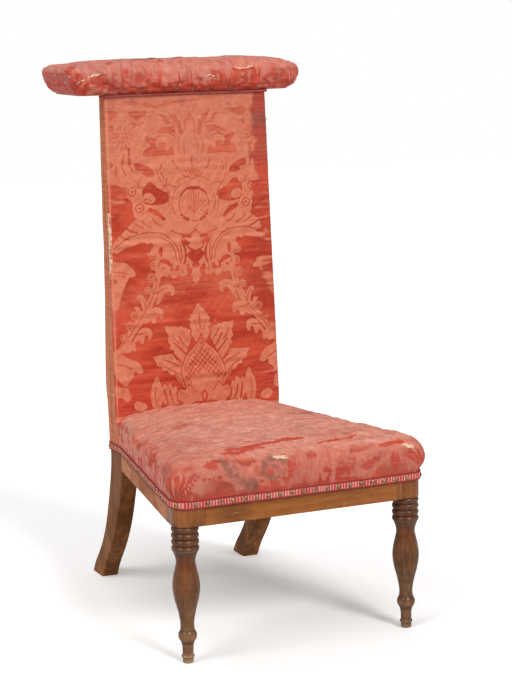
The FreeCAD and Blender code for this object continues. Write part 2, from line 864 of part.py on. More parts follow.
def rest_middle():
    return front_line(back_top) - rest_front_overhang + rest_depth / 2


def rest_section(z, spread):
    """Rounded rectangle of the arm rest at one height."""
    half = rest_length / 2 + spread
    deep = rest_depth / 2 + spread
    radius = rest_corner_radius + abs(spread) * rest_corner_share
    slant = radius * (1 - math.cos(math.radians(45)))
    middle = rest_middle()
    points = []
    for sx, sy in ((1, -1), (1, 1), (-1, 1), (-1, -1)):
        on_side = Vector(sx * half, middle + sy * (deep - radius), z)
        on_bow = Vector(sx * (half - slant), middle + sy * (deep - slant), z)
        on_face = Vector(sx * (half - radius), middle + sy * deep, z)
        corner = bend(on_face, on_bow, on_side, corner_steps)
        points += corner if sx * sy < 0 else reversed(corner)
    return points


def rest_form(grow):
    sections = []
    for height, share in zip(rest_height_shares, rest_spread_shares):
        z = rest_bottom + height * (rest_pad_height - cover_thickness + grow)
        sections.append(rest_section(z, share * rest_bulge + grow))
    return lofted(sections)


def arm_rest_board():
    board = prism(rest_section(rest_bottom, 0), upright * rest_thickness)
    board = board.cut(through_tenon()).cut(mirrored(through_tenon()))
    return opened(board, rest_screws())


def arm_rest_stuffing():
    plain = prism(rest_section(rest_bottom, 0), upright * rest_thickness)
    return largest(rest_form(0).cut(plain))


def back_head():
    """Room that the covered top of the back takes under the arm rest."""
    wrap = cover_thickness + seam_clearance
    half = back_top_width / 2 + wrap
    crown = back_crown * back_crown_shares[-1]
    front = pad_front(back_top) - crown - wrap
    rear = rear_swell(back_top, rear_fullness_shares[-1]) + wrap
    return slab(-half, half, front, rear, back_foot, rest_bottom)


def arm_rest_cover():
    low = rest_bottom - cover_thickness
    lip = prism(rest_section(low, cover_thickness), upright * cover_thickness)
    lip = lip.cut(prism(rest_section(low, -rest_turn_under), upright * cover_thickness)).cut(back_head())
    shell = rest_form(cover_thickness).cut(rest_form(0))
    return largest(largest(shell).fuse(lip))


def arm_rest_underside():
    """Plain cloth under the board, inside the edge of the cover."""
    low = rest_bottom - cover_thickness
    sheet = prism(rest_section(low, -rest_turn_under), upright * cover_thickness)
    return largest(sheet.cut(back_head()))


def piping():
    """Cord round the top of the back, in the angle under the arm rest."""
    z = rest_bottom - cover_thickness - piping_radius
    head = back_head().BoundBox
    x = head.XMax + piping_radius
    y = head.YMin - piping_radius
    radius = piping_corner_radius
    slant = radius * (1 - math.cos(math.radians(45)))
    right = bend(Vector(x - radius, y, z), Vector(x - slant, y + slant, z), Vector(x, y + radius, z),
                 corner_steps)
    right.append(Vector(x, side_middle(back_top), z))
    path = [Vector(-p.x, p.y, p.z) for p in reversed(right)] + right
    turns = [2 * math.pi * side / small_sides for side in range(small_sides)]
    sections = []
    for number, point in enumerate(path):
        before = (point - path[number - 1]) if number else path[1] - point
        after = (path[number + 1] - point) if number + 1 < len(path) else before
        ways = [Vector(way.y, -way.x, 0).normalize() for way in (before, after)]
        side = (ways[0] + ways[1]) / (1 + ways[0].dot(ways[1]))
        sections.append([point + (side * math.cos(turn) + upright * math.sin(turn)) * piping_radius
                         for turn in turns])
    return lofted(sections)


def pair(shape, name):
    return {name + "_right": shape, name + "_left": mirrored(shape)}


def chair():
    """All pieces of the chair by name."""
    right_screws = brace_screws()
    left_screws = [(Vector(-tip.x, tip.y, tip.z), Vector(-way.x, way.y, way.z), length)
                   for tip, way, length in right_screws]
    frame_screws = right_screws + left_screws
    wedge = tenon_wedge()
    pieces = {}
    pieces.update(pair(front_leg(), "front_leg"))
    pieces.update(pair(rear_leg(), "rear_leg"))
    pieces["front_seat_rail"] = opened(front_rail(), frame_screws)
    pieces.update(pair(opened(side_rail(), right_screws), "side_seat_rail"))
    pieces["rear_seat_rail"] = opened(rear_rail(), frame_screws)
    pieces["back_bottom_rail"] = back_bottom_rail()
    pieces["back_top_rail"] = opened(back_top_rail(), rest_screws())
    pieces.update(pair(front_brace(), "front_corner_block"))
    pieces.update(pair(rear_brace(), "rear_corner_block"))
    pieces["corner_block_screws"] = Part.makeCompound([screw(*place) for place in frame_screws])
    pieces["seat_webbing"] = seat_webbing()
    pieces["seat_hessian"] = seat_hessian()
    pieces["seat_stuffing"] = seat_stuffing()
    pieces["seat_cover"] = seat_cover()
    pieces["seat_gimp"] = seat_gimp()
    pieces["gimp_nails"] = gimp_nails()
    pieces["back_webbing"] = back_webbing()
    pieces["back_hessian"] = back_hessian()
    pieces["back_stuffing"] = back_stuffing()
    pieces["back_front_cover"] = back_front_cover()
    pieces["back_rear_padding"] = rear_padding()
    pieces["back_rear_cover"] = back_rear_cover()
    pieces["arm_rest_board"] = arm_rest_board()
    pieces["arm_rest_wedges"] = Part.makeCompound([wedge, mirrored(wedge)])
    pieces["arm_rest_screws"] = Part.makeCompound([screw(*place) for place in rest_screws()])
    pieces["arm_rest_stuffing"] = arm_rest_stuffing()
    pieces["arm_rest_cover"] = arm_rest_cover()
    pieces["arm_rest_underside"] = arm_rest_underside()
    pieces["arm_rest_piping"] = piping()
    return pieces


def write(pieces):
    """Writes each piece, moved so that the origin is on the floor under the middle of the chair."""
    os.makedirs("parts", exist_ok=True)
    box = FreeCAD.BoundBox()
    for shape in pieces.values():
        box.add(shape.optimalBoundingBox())
    middle = (box.YMin + box.YMax) / 2
    print("width %.1f, depth %.1f, height %.1f" % (box.XLength, box.YLength, box.ZLength))
    for name, shape in pieces.items():
        shape.translated(Vector(0, -middle, 0)).exportStep("parts/" + name + ".step")


write(chair())
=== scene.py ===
import json
import math
from contextlib import contextmanager
from functools import reduce

import bmesh
import bpy
import numpy as np
from mathutils import Matrix, Vector

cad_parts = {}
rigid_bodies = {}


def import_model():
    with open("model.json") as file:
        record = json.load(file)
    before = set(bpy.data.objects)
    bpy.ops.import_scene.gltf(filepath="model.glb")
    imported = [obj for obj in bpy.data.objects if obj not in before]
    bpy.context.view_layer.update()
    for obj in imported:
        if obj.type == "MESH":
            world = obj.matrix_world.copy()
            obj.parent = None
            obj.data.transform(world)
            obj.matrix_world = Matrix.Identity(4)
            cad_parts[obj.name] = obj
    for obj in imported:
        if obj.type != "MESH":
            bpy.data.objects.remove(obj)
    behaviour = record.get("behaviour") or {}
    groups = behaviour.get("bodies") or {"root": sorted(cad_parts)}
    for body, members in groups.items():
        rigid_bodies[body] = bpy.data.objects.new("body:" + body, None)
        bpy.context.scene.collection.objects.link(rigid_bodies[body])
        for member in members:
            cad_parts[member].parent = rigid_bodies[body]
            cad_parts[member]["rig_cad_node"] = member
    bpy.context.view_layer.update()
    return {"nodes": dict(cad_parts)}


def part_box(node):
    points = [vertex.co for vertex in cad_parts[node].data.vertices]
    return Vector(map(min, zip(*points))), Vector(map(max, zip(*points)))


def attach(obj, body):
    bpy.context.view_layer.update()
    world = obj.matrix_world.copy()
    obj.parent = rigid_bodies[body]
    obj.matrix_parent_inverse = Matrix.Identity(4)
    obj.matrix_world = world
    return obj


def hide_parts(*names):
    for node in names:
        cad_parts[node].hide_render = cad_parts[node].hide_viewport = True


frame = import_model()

# Sizes are in millimetres, with y = 0 on the front face of the seat frame. Points turn to metres
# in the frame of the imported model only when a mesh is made.
FRONT_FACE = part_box("front_seat_rail")[0].y * 1000

FRONT_HALF = 232.0
REAR_HALF = 163.5
SEAT_DEPTH = 434.0
SLOPE = (FRONT_HALF - REAR_HALF) / SEAT_DEPTH
SIDE_ANGLE = math.atan(SLOPE)
RING_RADIUS = 23.2
CORNER_IN = RING_RADIUS * (1 + math.sin(SIDE_ANGLE)) / math.cos(SIDE_ANGLE)
CORNER = np.array([FRONT_HALF - CORNER_IN, RING_RADIUS])
HEAD_SIZE = 55
CUSHION_REAR = 447.3
BACK_FOOT = 318.0
BACK_TOP = 920.0
BACK_FRONT = 455.0
LEAN = math.tan(math.radians(2.67))
REAR_FACE = 490.5
TOP_DEPTH = 18.5
TOP_HALF = 156.5
COVER = 1.8
BRAID_MIDDLE = 273.5


def metres(points):
    out = np.array(points, float)
    out[..., 1] += FRONT_FACE
    return out / 1000


# Numbers


def lerp(a, b, t):
    return a + (b - a) * t


def smooth(t):
    t = np.clip(t, 0, 1)
    return t * t * (3 - 2 * t)


def rise(x, start, width):
    """0 up to start, 1 from a width beyond it."""
    return smooth((x - start) / width)


def fall(x, end, width):
    """1 up to a width before end, 0 from there."""
    return smooth((end - x) / width)


def bump(x, centre, width):
    return np.exp(-((x - centre) / width) ** 2)


def highest(*fields):
    return reduce(np.maximum, fields)


def unit(vectors):
    return vectors / np.linalg.norm(vectors, axis=-1, keepdims=True)


def spots(x, y):
    return np.stack([x, y, 0 * x], -1)


def hashed(i, j, k, seed):
    h = (i * 374761393 + j * 668265263 + k * 1440662683 + seed * 1274126177) & 0xFFFFFFFF
    h = ((h ^ (h >> 13)) * 1274126177) & 0xFFFFFFFF
    return ((h ^ (h >> 16)) & 0xFFFF) / 32767.5 - 1


def noise(points, size, seed):
    """Smooth noise from -1 to 1 at points, with cells of a size or of three sizes."""
    q = np.asarray(points, float) / np.asarray(size, float)
    cell = np.floor(q).astype(np.int64)
    f = smooth(q - cell)
    total = 0
    for corner in np.ndindex(2, 2, 2):
        share = math.prod(f[..., k] if far else 1 - f[..., k] for k, far in enumerate(corner))
        total = total + share * hashed(*np.moveaxis(cell + corner, -1, 0), seed)
    return total


def layered(points, size, seed):
    """Three layers of noise, each half as large and half as strong as the one before."""
    size = np.asarray(size, float)
    return sum(noise(points, size / 2 ** k, seed + k) / 2 ** k for k in range(3)) / 1.75


def patches(points, size, seed, start, width):
    """1 where layered noise is high, 0 where it is low."""
    return rise(layered(points, size, seed), start, width)


def creases(points, size, seed):
    """Sharp narrow folds: 1 on a fold, falling quickly to 0."""
    return np.clip(1 - np.abs(noise(points, size, seed)) * 5, 0, 1) ** 1.5


def spline(p, shares):
    """Points of a smooth curve through all of p but its ends, at these shares of each stretch."""
    return [0.5 * (2 * b + (c - a) * t + (2 * a - 5 * b + 4 * c - d) * t * t
                   + (3 * b - a - 3 * c + d) * t ** 3)
            for a, b, c, d in zip(p, p[1:], p[2:], p[3:]) for t in shares]


def longer(rows):
    """Rows with one more at each end, in line with the last two."""
    return np.vstack([2 * rows[0] - rows[1], rows, 2 * rows[-1] - rows[-2]])


def lengths(path):
    """Length of a path up to each of its points."""
    return np.concatenate([[0], np.cumsum(np.linalg.norm(np.diff(path, axis=0), axis=1))])


def sampled(path, run, places):
    return np.stack([np.interp(places, run, column) for column in path.T], 1)


def curve_through(rows, count):
    """Even samples of a smooth curve through rows, spaced by length."""
    rows = np.asarray(rows, float)
    fine = np.array(spline(longer(rows), np.linspace(0, 1, 12, endpoint=False)) + [rows[-1]])
    run = lengths(fine)
    return sampled(fine, run, np.linspace(0, run[-1], count))


def read_rows(text):
    """Rows of a table in which each word starts a row: the word, its numbers and its points."""
    rows = []
    for part in text.split():
        if part[0].isalpha():
            rows.append((part, [], []))
        elif "," in part:
            rows[-1][2].append([float(v) for v in part.split(",")])
        else:
            rows[-1][1].append(float(part))
    return [(word, numbers, np.array(points)) for word, numbers, points in rows]


# The figure of the damask, as half of a mirrored repeat: millimetres from its axis, and height.
# Each row is what to do (add or cut a smooth shape, cut a line of a width, a dot, a ring, rays or a
# lattice), then points. It runs on over the next line where it is long.
DAMASK = """
add 36,430 18,470 16,480 20,484 24,483 29,488 33,486 36,491 43,489 50,492 60,491 69,493 67,482 63,475 66,466
61,458 63,451 56,447 54,440 46,432
add -8,450 -8,526 0,531 4,527 8,521 12,517 12,513 17,510 16,506 21,504 19,497 22,491 18,484 20,476 14,466
10,458 0,448
add 38,432 50,427 54,434 58,440 68,441 80,440 97,438 92,429 91,421 83,418 80,410 72,410 66,402 58,400 54,391
46,386 38,376
add 0,474 5,462 15,452 28,440 37,427 43,413 44,400 40,385 34,370 30,358 14,352 -8,352 -8,460
line 1.7 0,475 5,463 15,452 28,440 37,427 43,413 44,400 40,385 35,370
line 1.2 0,467 4,458 12,447 23,436 31,424 37,411 38,399 35,386 31,376
line 2.2 18,484 20,474 16,466
line 1.6 37,480 31,470 24,461
line 2.0 44,472 34,456 25,446
line 1.6 57,479 52,468 44,459
line 2.2 54,461 44,451 32,438
line 2.4 50,431 43,424
line 1.8 77,431 66,427 54,421 46,414
line 1.6 77,418 64,411 49,401
line 1.6 57,402 49,394 43,388
line 1.4 0,514 1,500 0,482
line 1.2 11,501 8,488 5,480
lattice 0,460 4,452 12,443 22,432 30,420 35,409 36,399 33,387 29,377 22,388 15,396 0,402
add -8,405 0,406 7,403 9,399 15,399 18,393 23,390 21,381 26,378 30,377 38,370 47,373 51,368 49,356 44,345
40,333 -8,333
line 1.6 26,378 22,370 16,364
line 1.4 50,370 43,364 38,362
line 2.6 0,366 4,361 5,355 3,349 0,347
cut -8,344 6,346 16,347 27,343 14,337 -8,335
dot+ 0,356 1.2
add 92,401 97,398 101,388 105,378 107,362 104,345 98,333 86,333 87,345 82,356 81,368 84,380 87,392
add 80,386 74,381 67,388 64,380 60,378 57,383 55,372 50,368 47,356 52,344 58,346 60,336 66,345 72,333 78,345
84,358 86,372
line 2.4 55,368 54,356 50,345
line 2.2 68,372 66,358 61,346
line 2.6 80,374 76,360 74,345
line 1.6 96,382 98,362 94,345
add 68,648 64,630 66,612 67,598 70,584 74,566 80,548 90,530 108,504 128,480 142,462 158,446 176,438 176,450
162,458 150,472 138,490 118,514 102,536 92,552 86,568 82,584 78,600 77,620 78,648
add 73,587 70,595 68,607 64,612 58,614 52,609 50,600 56,591 60,593 59,600 64,602 68,597 70,589
add 82,534 78,547 75,562 70,568 61,571 51,570 45,562 44,554 49,549 53,550 52,555 59,557 65,552 70,543 76,536
line 1.5 86,556 76,556 66,563 58,563
add 98,520 90,528 81,530 72,526 68,518 69,511 74,507 79,512 83,509 85,502 91,500 94,506 100,504 108,500
line 1.5 104,521 92,518 82,520
add 122,484 113,492 104,493 96,488 94,479 97,472 102,470 103,477 107,479 110,473 113,464 118,465 120,471
127,467 134,465
line 1.5 128,482 116,482 106,484
add 146,465 138,469 130,466 127,458 129,450 135,453 141,449 151,450 156,445
add 97,531 100,541 103,549 110,555 117,552 118,547 113,545 110,539 109,531 105,526
line 1.4 101,528 104,540 111,549
add 110,514 111,522 114,531 120,534 125,531 120,526 119,519 116,514
add 66,640 58,646 50,642 52,634 60,632 66,628
line 1.3 72,640 72,612 75,590 81,566 90,545 106,520 124,496 142,474 160,456
dot 85,627 10
ring 1.5 85,627 8.6
dot 82,606 9.6
ring 1.5 82,606 8.4
dot 88,584 9.8
ring 1.5 88,584 8.6
dot 95,561 8.6
ring 1.4 95,561 7.4
dot 124,517 9.2
ring 1.5 124,517 8
dot 135,498 9.8
ring 1.5 135,498 8.6
dot 148,477 9.2
ring 1.5 148,477 8
dot 85,627 2
dot 82,606 2
dot 88,584 2
dot 124,517 2
dot 135,498 2
add 176,446 156,446 146,440 134,436 124,428 118,418 118,411 126,409 134,414 137,404 144,398 150,388 160,392
172,410 176,430
line 1.6 168,430 152,426 138,418
add 152,384 146,376 144,364 152,358 160,366 172,370 176,388
add 126,356 118,352 114,344 122,338 134,340 140,350 134,358
add 172,612 150,616 136,614 126,606 117,594 120,588 130,586 136,576 142,562 148,548 152,532 162,530 172,536
line 1.6 172,598 150,598 134,594
line 1.6 172,590 152,592 138,588
cut 172,584 160,586 154,580 172,574
add -8,700 20,700 60,700 100,702 112,694 124,684 136,672 150,660 160,646 160,636 150,632 136,640 122,644
100,650 92,640 92,628 72,622 66,612 60,610 54,620 44,612 46,600 40,590 30,586 10,590 -8,590
add 44,612 54,604 62,612 70,614 74,604 70,596 60,600 52,596 50,590 56,584 64,586 76,584 80,600 78,620 60,628
cut -8,632 4,632 10,630 18,622 12,614 4,607 -8,607
cut 20,651 28,648 24,642 18,640 14,644
line 1.8 0,668 8,661 14,654 20,657 28,661 38,664 46,668
line 4.0 10,655 18,657 24,655
line 2.4 12,645 16,638 10,632 3,630
dot+ 9,637 3.2
dot+ 2,633 3.0
line 1.5 158,640 142,652 122,662 97,667 68,665 55,658 42,645 34,630 32,612
line 1.5 66,655 52,648 42,632 38,612
line 3.0 28,650 22,636 20,618 24,604
line 1.6 30,640 28,622 30,606
cut 96,636 92,646 86,648 82,642 86,636 90,630
cut 150,628 140,630 128,632 121,630 112,629 100,627 94,618 93,604 97,590 110,584 116,594 124,606 132,613
146,617 158,618 150,622
cut 66,640 72,634 71,624 66,622 65,630
cut 72,612 64,617 55,614 49,606 46,595 52,603 60,608
cut 42,598 36,600 34,592 38,586 50,580 60,582 50,590 46,592
add 36,590 40,582 47,581 52,586 49,593 42,594
add 18,602 34,602 34,586 18,586
cut 33,603 38,603 38,596 33,594
cut 12,603 18,603 19,596 14,592
line 1.2 20,594 32,594
line 1.2 26,601 26,587
add -6,596 10,592 12,584 9,582 6,578 8,574 4,572 0,567 -6,572
cut 9,598 17,594 16,584 9,586
cut -6,604 6,606 7,600 0,597 -6,600
add -8,698 60,698 100,700 112,694 124,700 176,700 180,800 176,904 100,906 -8,906
cut 180,752 146,755 132,748 131,738 126,730 119,722 120,712 117,702 124,690 138,676 156,664 180,660
ringline 1.3 0,714 30
line 4.2 -6,743 4,744 12,743
line 2.6 14,742 20,738 25,732
line 1.5 0,744 0,694
line 1.0 6,741 3,700
line 1.0 12,737 5,701
line 1.0 18,731 7,703
line 1.0 24,722 10,705
line 1.0 27,712 12,702
dot 14,687 3.6
dot 20,690 3.0
dot 26,695 2.2
line 1.8 0,802 0,768
line 2.2 6,778 3,767
line 2.2 13,776 8,766
line 2.0 20,771 13,764
line 1.6 0,760 10,764 22,762 32,756
line 1.1 40,700 43,714 41,730 34,744 22,752
line 1.4 34,748 48,752 58,748
line 2.6 36,796 33,788 28,780
line 1.5 60,790 62,776 56,764
line 1.5 70,786 68,770 62,758
cut 99,744 92,752 88,758 80,757 70,748 57,740 50,736 50,725 55,719 70,716 84,717 96,721
add 94,738 84,738 76,731 75,724 82,720 91,722 98,728
cut 88,712 78,708 68,702 57,690 62,687 71,696 80,700 88,705
ring 1.8 119,742 10.5
ring 1.8 106,712 11
dot 119,742 2.4
dot 106,712 2.4
line 1.6 108,758 114,764 124,766
line 1.4 96,768 104,762 106,752
cut 111,793 101,793 90,789 80,782 74,770 86,768 97,773 95,779 103,780 110,783
cut 92,805 91,816 82,820 79,826 85,832 89,838 84,843 72,838 68,836 69,829 66,821 61,820 63,826 57,829 52,829
49,825 51,819 47,814 44,814 42,820 36,819 33,811 36,805 60,806
cut 84,844 72,847 52,854 36,857 29,850 42,847 59,845
line 1.4 68,836 58,841 44,840 36,832
line 2.0 30,836 40,846 54,846 64,838
line 1.6 34,848 46,856 60,852
cut 117,885 109,889 96,887 82,885 84,879 94,876 102,871 107,874 114,878
line 2.0 112,866 100,862 90,866
cut 38,876 30,868 22,858 16,856 22,866 24,874 32,880
cut 52,868 42,862 32,862 42,868 48,874
cut 24,848 15,842 14,852 20,856
line 1.6 10,838 14,820 12,806
line 1.6 22,836 25,820 22,806
rays 13 9 21 131,841
ringline 1.4 131,841 8
line 1.4 131,836 131,846
line 1.2 126,838 136,844
cut 156,858 150,864 146,858 150,852
cut 110,862 104,866 106,858 112,856
cut 180,872 158,868 146,876 138,886 150,890 180,886
cut 180,806 160,800 150,792 160,786 180,790
line 1.8 118,822 122,800 116,780
line 1.8 130,812 134,790 128,772
add 130,766 122,768 114,764 110,756 116,748 126,746 136,750 140,758
line 1.4 134,752 124,748 114,752
line 1.6 141,762 146,774 146,790
line 1.6 120,788 118,806 122,822
line 1.3 106,750 96,748 88,742
line 1.4 104,722 92,728 84,724
line 1.4 100,700 86,708 72,706 62,696
line 2.2 134,680 124,672 112,668
line 1.8 148,668 138,660 128,656
line 1.6 122,690 112,682 100,676
line 1.6 104,690 96,682 84,676
line 1.6 82,692 76,684 66,678
line 1.2 62,742 54,752 50,766
line 1.2 46,728 52,744 62,756
line 1.2 40,768 48,780 52,794
line 1.0 30,690 38,702 44,716
line 1.0 46,700 50,716 48,732
line 1.8 6,872 10,860 8,846
line 2.2 18,868 22,856 18,842
line 2.0 30,862 34,852 30,844
line 3.0 40,884 34,874 30,866
line 2.6 58,880 48,874 42,866
line 2.0 -4,884 2,876 2,868
"""

STEP = 0.8
FIGURE_FOOT, REPEAT_HEIGHT, REPEAT_HALF = 333, 566, 174
ACROSS = np.arange(-8, 176, STEP)
UPWARD = np.arange(FIGURE_FOOT, 900, STEP)
FARTHEST = 6
LINE_SHARE = 0.68


def smooth_line(points, closed):
    shares = np.arange(5) / 5
    if len(points) < 3:
        return points
    if closed:
        return np.array(spline(np.vstack([points[-1], points, points[:2]]), shares))
    return np.array(spline(longer(points), shares) + [points[-1]])


def line_distance(gx, gz, line, closed):
    ends = np.roll(line, -1, 0) if closed else line[1:]
    starts = line if closed else line[:-1]
    best = np.full(gx.shape, 1e9)
    inside = np.zeros(gx.shape, bool)
    for (ax, az), (bx, bz) in zip(starts, ends):
        dx, dz = bx - ax, bz - az
        t = np.clip(((gx - ax) * dx + (gz - az) * dz) / (dx * dx + dz * dz + 1e-9), 0, 1)
        best = np.minimum(best, (gx - ax - t * dx) ** 2 + (gz - az - t * dz) ** 2)
        if closed:
            crosses = (az > gz) != (bz > gz)
            inside ^= crosses & (gx < ax + (gz - az) / (dz if dz else 1e-9) * dx)
    return np.sqrt(best), inside


def damask_field():
    """Distance inside the edge of the figure on a grid, below 0 outside it."""
    gx, gz = np.meshgrid(ACROSS, UPWARD)
    field = np.full(gx.shape, -float(FARTHEST))
    for word, numbers, points in read_rows(DAMASK):
        spread = FARTHEST + max(numbers, default=0)
        low, high = points.min(0) - spread, points.max(0) + spread
        here = tuple(slice(*np.searchsorted(places, (low[k], high[k])))
                     for k, places in ((1, UPWARD), (0, ACROSS)))
        x, z, old = gx[here], gz[here], field[here]
        dx, dz = x - points[0, 0], z - points[0, 1]
        if word in ("dot", "dot+", "ring", "ringline"):
            d = numbers[-1] - np.hypot(dx, dz)
        elif word == "rays":
            count, start, end = numbers
            far, turn = np.hypot(dx, dz), np.arctan2(dz, dx) * count / 2 / math.pi
            d = 1.1 - np.abs(turn - np.round(turn)) * far * 2 * math.pi / count
            d = np.minimum(d, np.minimum(far - start, end - far))
        elif word == "line":
            d = numbers[0] * LINE_SHARE - line_distance(x, z, smooth_line(points, False), False)[0]
        else:
            far, inside = line_distance(x, z, smooth_line(points, True), True)
            d = np.where(inside, far, -far)
        if word in ("add", "dot+"):
            new = np.maximum(old, d)
        elif word == "ring":
            new = np.minimum(np.maximum(old, d), np.abs(d - 3.4) - numbers[0] * 0.62)
        elif word == "ringline":
            new = np.minimum(old, np.abs(d) - numbers[0] * LINE_SHARE)
        elif word == "lattice":
            a = np.abs((x / 10 + z / 11) % 1 - 0.5) * 10
            b = np.abs((x / 10 - z / 11) % 1 - 0.5) * 10
            new = np.where(d > 0, np.minimum(old, np.minimum(a, b) * 0.74 - 1.05), old)
        else:
            new = np.minimum(old, -d)
        field[here] = new
    return np.clip(field, -FARTHEST, FARTHEST)


# Height, and how far the middle of the figure lies to the right of the middle of the back
MIDDLE = [(333, 11), (400, 9), (475, 5.5), (530, 2.5), (580, 1.5), (650, 3), (720, 4), (800, 3), (900, 3)]
FIELD = damask_field()


def damask_at(x, z):
    """Distance in millimetres inside the edge of the woven figure, below 0 outside it."""
    z = FIGURE_FOOT + (np.asarray(z, float) - FIGURE_FOOT) % REPEAT_HEIGHT
    spot = np.stack([x, z, 0 * z], -1)
    z = z + 0.6 * noise(spot, 5, 91)
    x = np.abs(x + 0.5 * noise(spot, 4, 92) - np.interp(z, *np.transpose(MIDDLE)))
    x = np.abs((x + REPEAT_HALF) % (2 * REPEAT_HALF) - REPEAT_HALF)
    u = np.clip((x - ACROSS[0]) / STEP, 0, len(ACROSS) - 1.001)
    v = np.clip((z - FIGURE_FOOT) / STEP, 0, len(UPWARD) - 1.001)
    i, j = u.astype(int), v.astype(int)
    s, t = u - i, v - j
    return ((1 - t) * ((1 - s) * FIELD[j, i] + s * FIELD[j, i + 1])
            + t * ((1 - s) * FIELD[j + 1, i] + s * FIELD[j + 1, i + 1]))


# Meshes


def placed(name, data):
    """New object in the scene."""
    obj = bpy.data.objects.new(name, data)
    bpy.context.scene.collection.objects.link(obj)
    return obj


def mesh_object(name, points, faces):
    mesh = bpy.data.meshes.new(name)
    mesh.from_pydata([tuple(p) for p in metres(points)], [], faces)
    mesh.polygons.foreach_set("use_smooth", [True] * len(mesh.polygons))
    mesh.update()
    return placed(name, mesh)


def grid_faces(rows, columns, closed=False):
    across = columns if closed else columns - 1
    return [(r * columns + c, r * columns + (c + 1) % columns,
             (r + 1) * columns + (c + 1) % columns, (r + 1) * columns + c)
            for r in range(rows - 1) for c in range(across)]


def capped_faces(rows, columns):
    """Faces of a closed grid with a flat face over each end."""
    last = (rows - 1) * columns
    ends = [tuple(range(columns - 1, -1, -1)), tuple(range(last, last + columns))]
    return grid_faces(rows, columns, True) + ends


def grid_object(name, grid, closed=False, caps=()):
    """Surface of a grid of points, rows first, with a flat fan over each end row named in caps."""
    rows, columns = grid.shape[:2]
    faces = grid_faces(rows, columns, closed)
    points = grid.reshape(-1, 3)
    for row in caps:
        line = list(range(row % rows * columns, row % rows * columns + columns))
        points = np.vstack([points, points[line].mean(0)])
        middle = len(points) - 1
        pairs = zip(line, line[1:] + line[:1])
        faces += [(b, a, middle) if row == 0 else (a, b, middle) for a, b in pairs]
    obj = mesh_object(name, points, faces)
    outward(obj)
    return obj


@contextmanager
def edited(obj):
    """The mesh of an object as a bmesh, which is written back afterwards."""
    shape = bmesh.new()
    shape.from_mesh(obj.data)
    yield shape
    shape.to_mesh(obj.data)
    shape.free()


def outward(obj):
    with edited(obj) as shape:
        bmesh.ops.recalc_face_normals(shape, faces=shape.faces)


CLOTH = {
    "quality": 6, "mass": 0.25, "tension_stiffness": 12, "compression_stiffness": 12,
    "shear_stiffness": 4, "bending_stiffness": 0.15, "vertex_group_mass": "firm", "pin_stiffness": 1,
    "use_pressure": True,
}
CLOTH_FRAMES = 20


def settled(grid, closed, every, firm, growth, pressure, limit):
    """Moves of a grid whose cloth is a little too large for it and is pushed out by its stuffing.

    A coarser copy is run as cloth, held by firm where that is 1 and loosely where it is less. Its
    moves, none above a limit, are passed on to every point.
    """
    rows = np.unique(np.append(np.arange(0, grid.shape[0], every[0]), grid.shape[0] - 1))
    columns = np.arange(0, grid.shape[1], every[1])
    if not closed:
        columns = np.unique(np.append(columns, grid.shape[1] - 1))
    coarse = grid[rows][:, columns]
    obj = mesh_object("settling", coarse.reshape(-1, 3), grid_faces(len(rows), len(columns), closed))
    outward(obj)
    group = obj.vertex_groups.new(name="firm")
    for index, weight in enumerate(firm[rows][:, columns].ravel()):
        group.add([index], float(weight), "REPLACE")
    modifier = obj.modifiers.new("cloth", "CLOTH")
    for key, value in CLOTH.items():
        setattr(modifier.settings, key, value)
    modifier.settings.shrink_min = -growth
    modifier.settings.uniform_pressure_force = pressure
    modifier.settings.effector_weights.gravity = 0
    modifier.collision_settings.use_collision = False
    modifier.point_cache.frame_start = 1
    modifier.point_cache.frame_end = CLOTH_FRAMES
    for number in range(1, CLOTH_FRAMES + 1):
        bpy.context.scene.frame_set(number)
    shape = obj.evaluated_get(bpy.context.evaluated_depsgraph_get())
    found = np.zeros(len(obj.data.vertices) * 3)
    shape.data.vertices.foreach_get("co", found)
    bpy.data.objects.remove(obj)
    bpy.context.scene.frame_set(1)
    found = found.reshape(coarse.shape) * 1000
    found[..., 1] -= FRONT_FACE
    move = found - coarse
    size = np.linalg.norm(move, axis=-1, keepdims=True)
    move *= np.minimum(1, limit / np.maximum(size, 1e-6))
    if closed:
        move = np.concatenate([move, move[:, :1]], 1)
        columns = np.append(columns, grid.shape[1])
    down = np.stack([[np.interp(np.arange(grid.shape[0]), rows, move[:, c, k])
                      for c in range(len(columns))] for k in range(3)])
    return np.stack([[np.interp(np.arange(grid.shape[1]), columns, down[k, :, r])
                      for r in range(grid.shape[0])] for k in range(3)], -1)


def store(obj, name, values):
    """Keeps one number for each point of a mesh, for its material."""
    values = np.asarray(values, np.float32).ravel()
    extra = len(obj.data.vertices) - len(values)
    values = np.concatenate([values, np.full(extra, values[-1], np.float32)])
    obj.data.attributes.new(name, "FLOAT", "POINT").data.foreach_set("value", values)


def store_place(obj, grid):
    """Keeps each point's place on the flat cloth, in millimetres."""
    flat = np.zeros((len(obj.data.vertices), 3), np.float32)
    flat[:len(grid.reshape(-1, 2)), :2] = grid.reshape(-1, 2)
    obj.data.attributes.new("cloth", "FLOAT_VECTOR", "POINT").data.foreach_set("vector", flat.ravel())


def thicken(obj, depth):
    solid = obj.modifiers.new("thickness", "SOLIDIFY")
    solid.thickness = depth / 1000
    solid.offset = -1


def normals(grid, row, column, way, closed=False):
    """Normals of a grid, turned so that the one at a row and column faces a way."""
    if closed:
        du = np.roll(grid, -1, 1) - np.roll(grid, 1, 1)
    else:
        du = np.gradient(grid, axis=1)
    n = np.cross(du, np.gradient(grid, axis=0))
    n /= np.maximum(np.linalg.norm(n, axis=-1, keepdims=True), 1e-9)
    return n * np.sign(n[row, column] @ way)


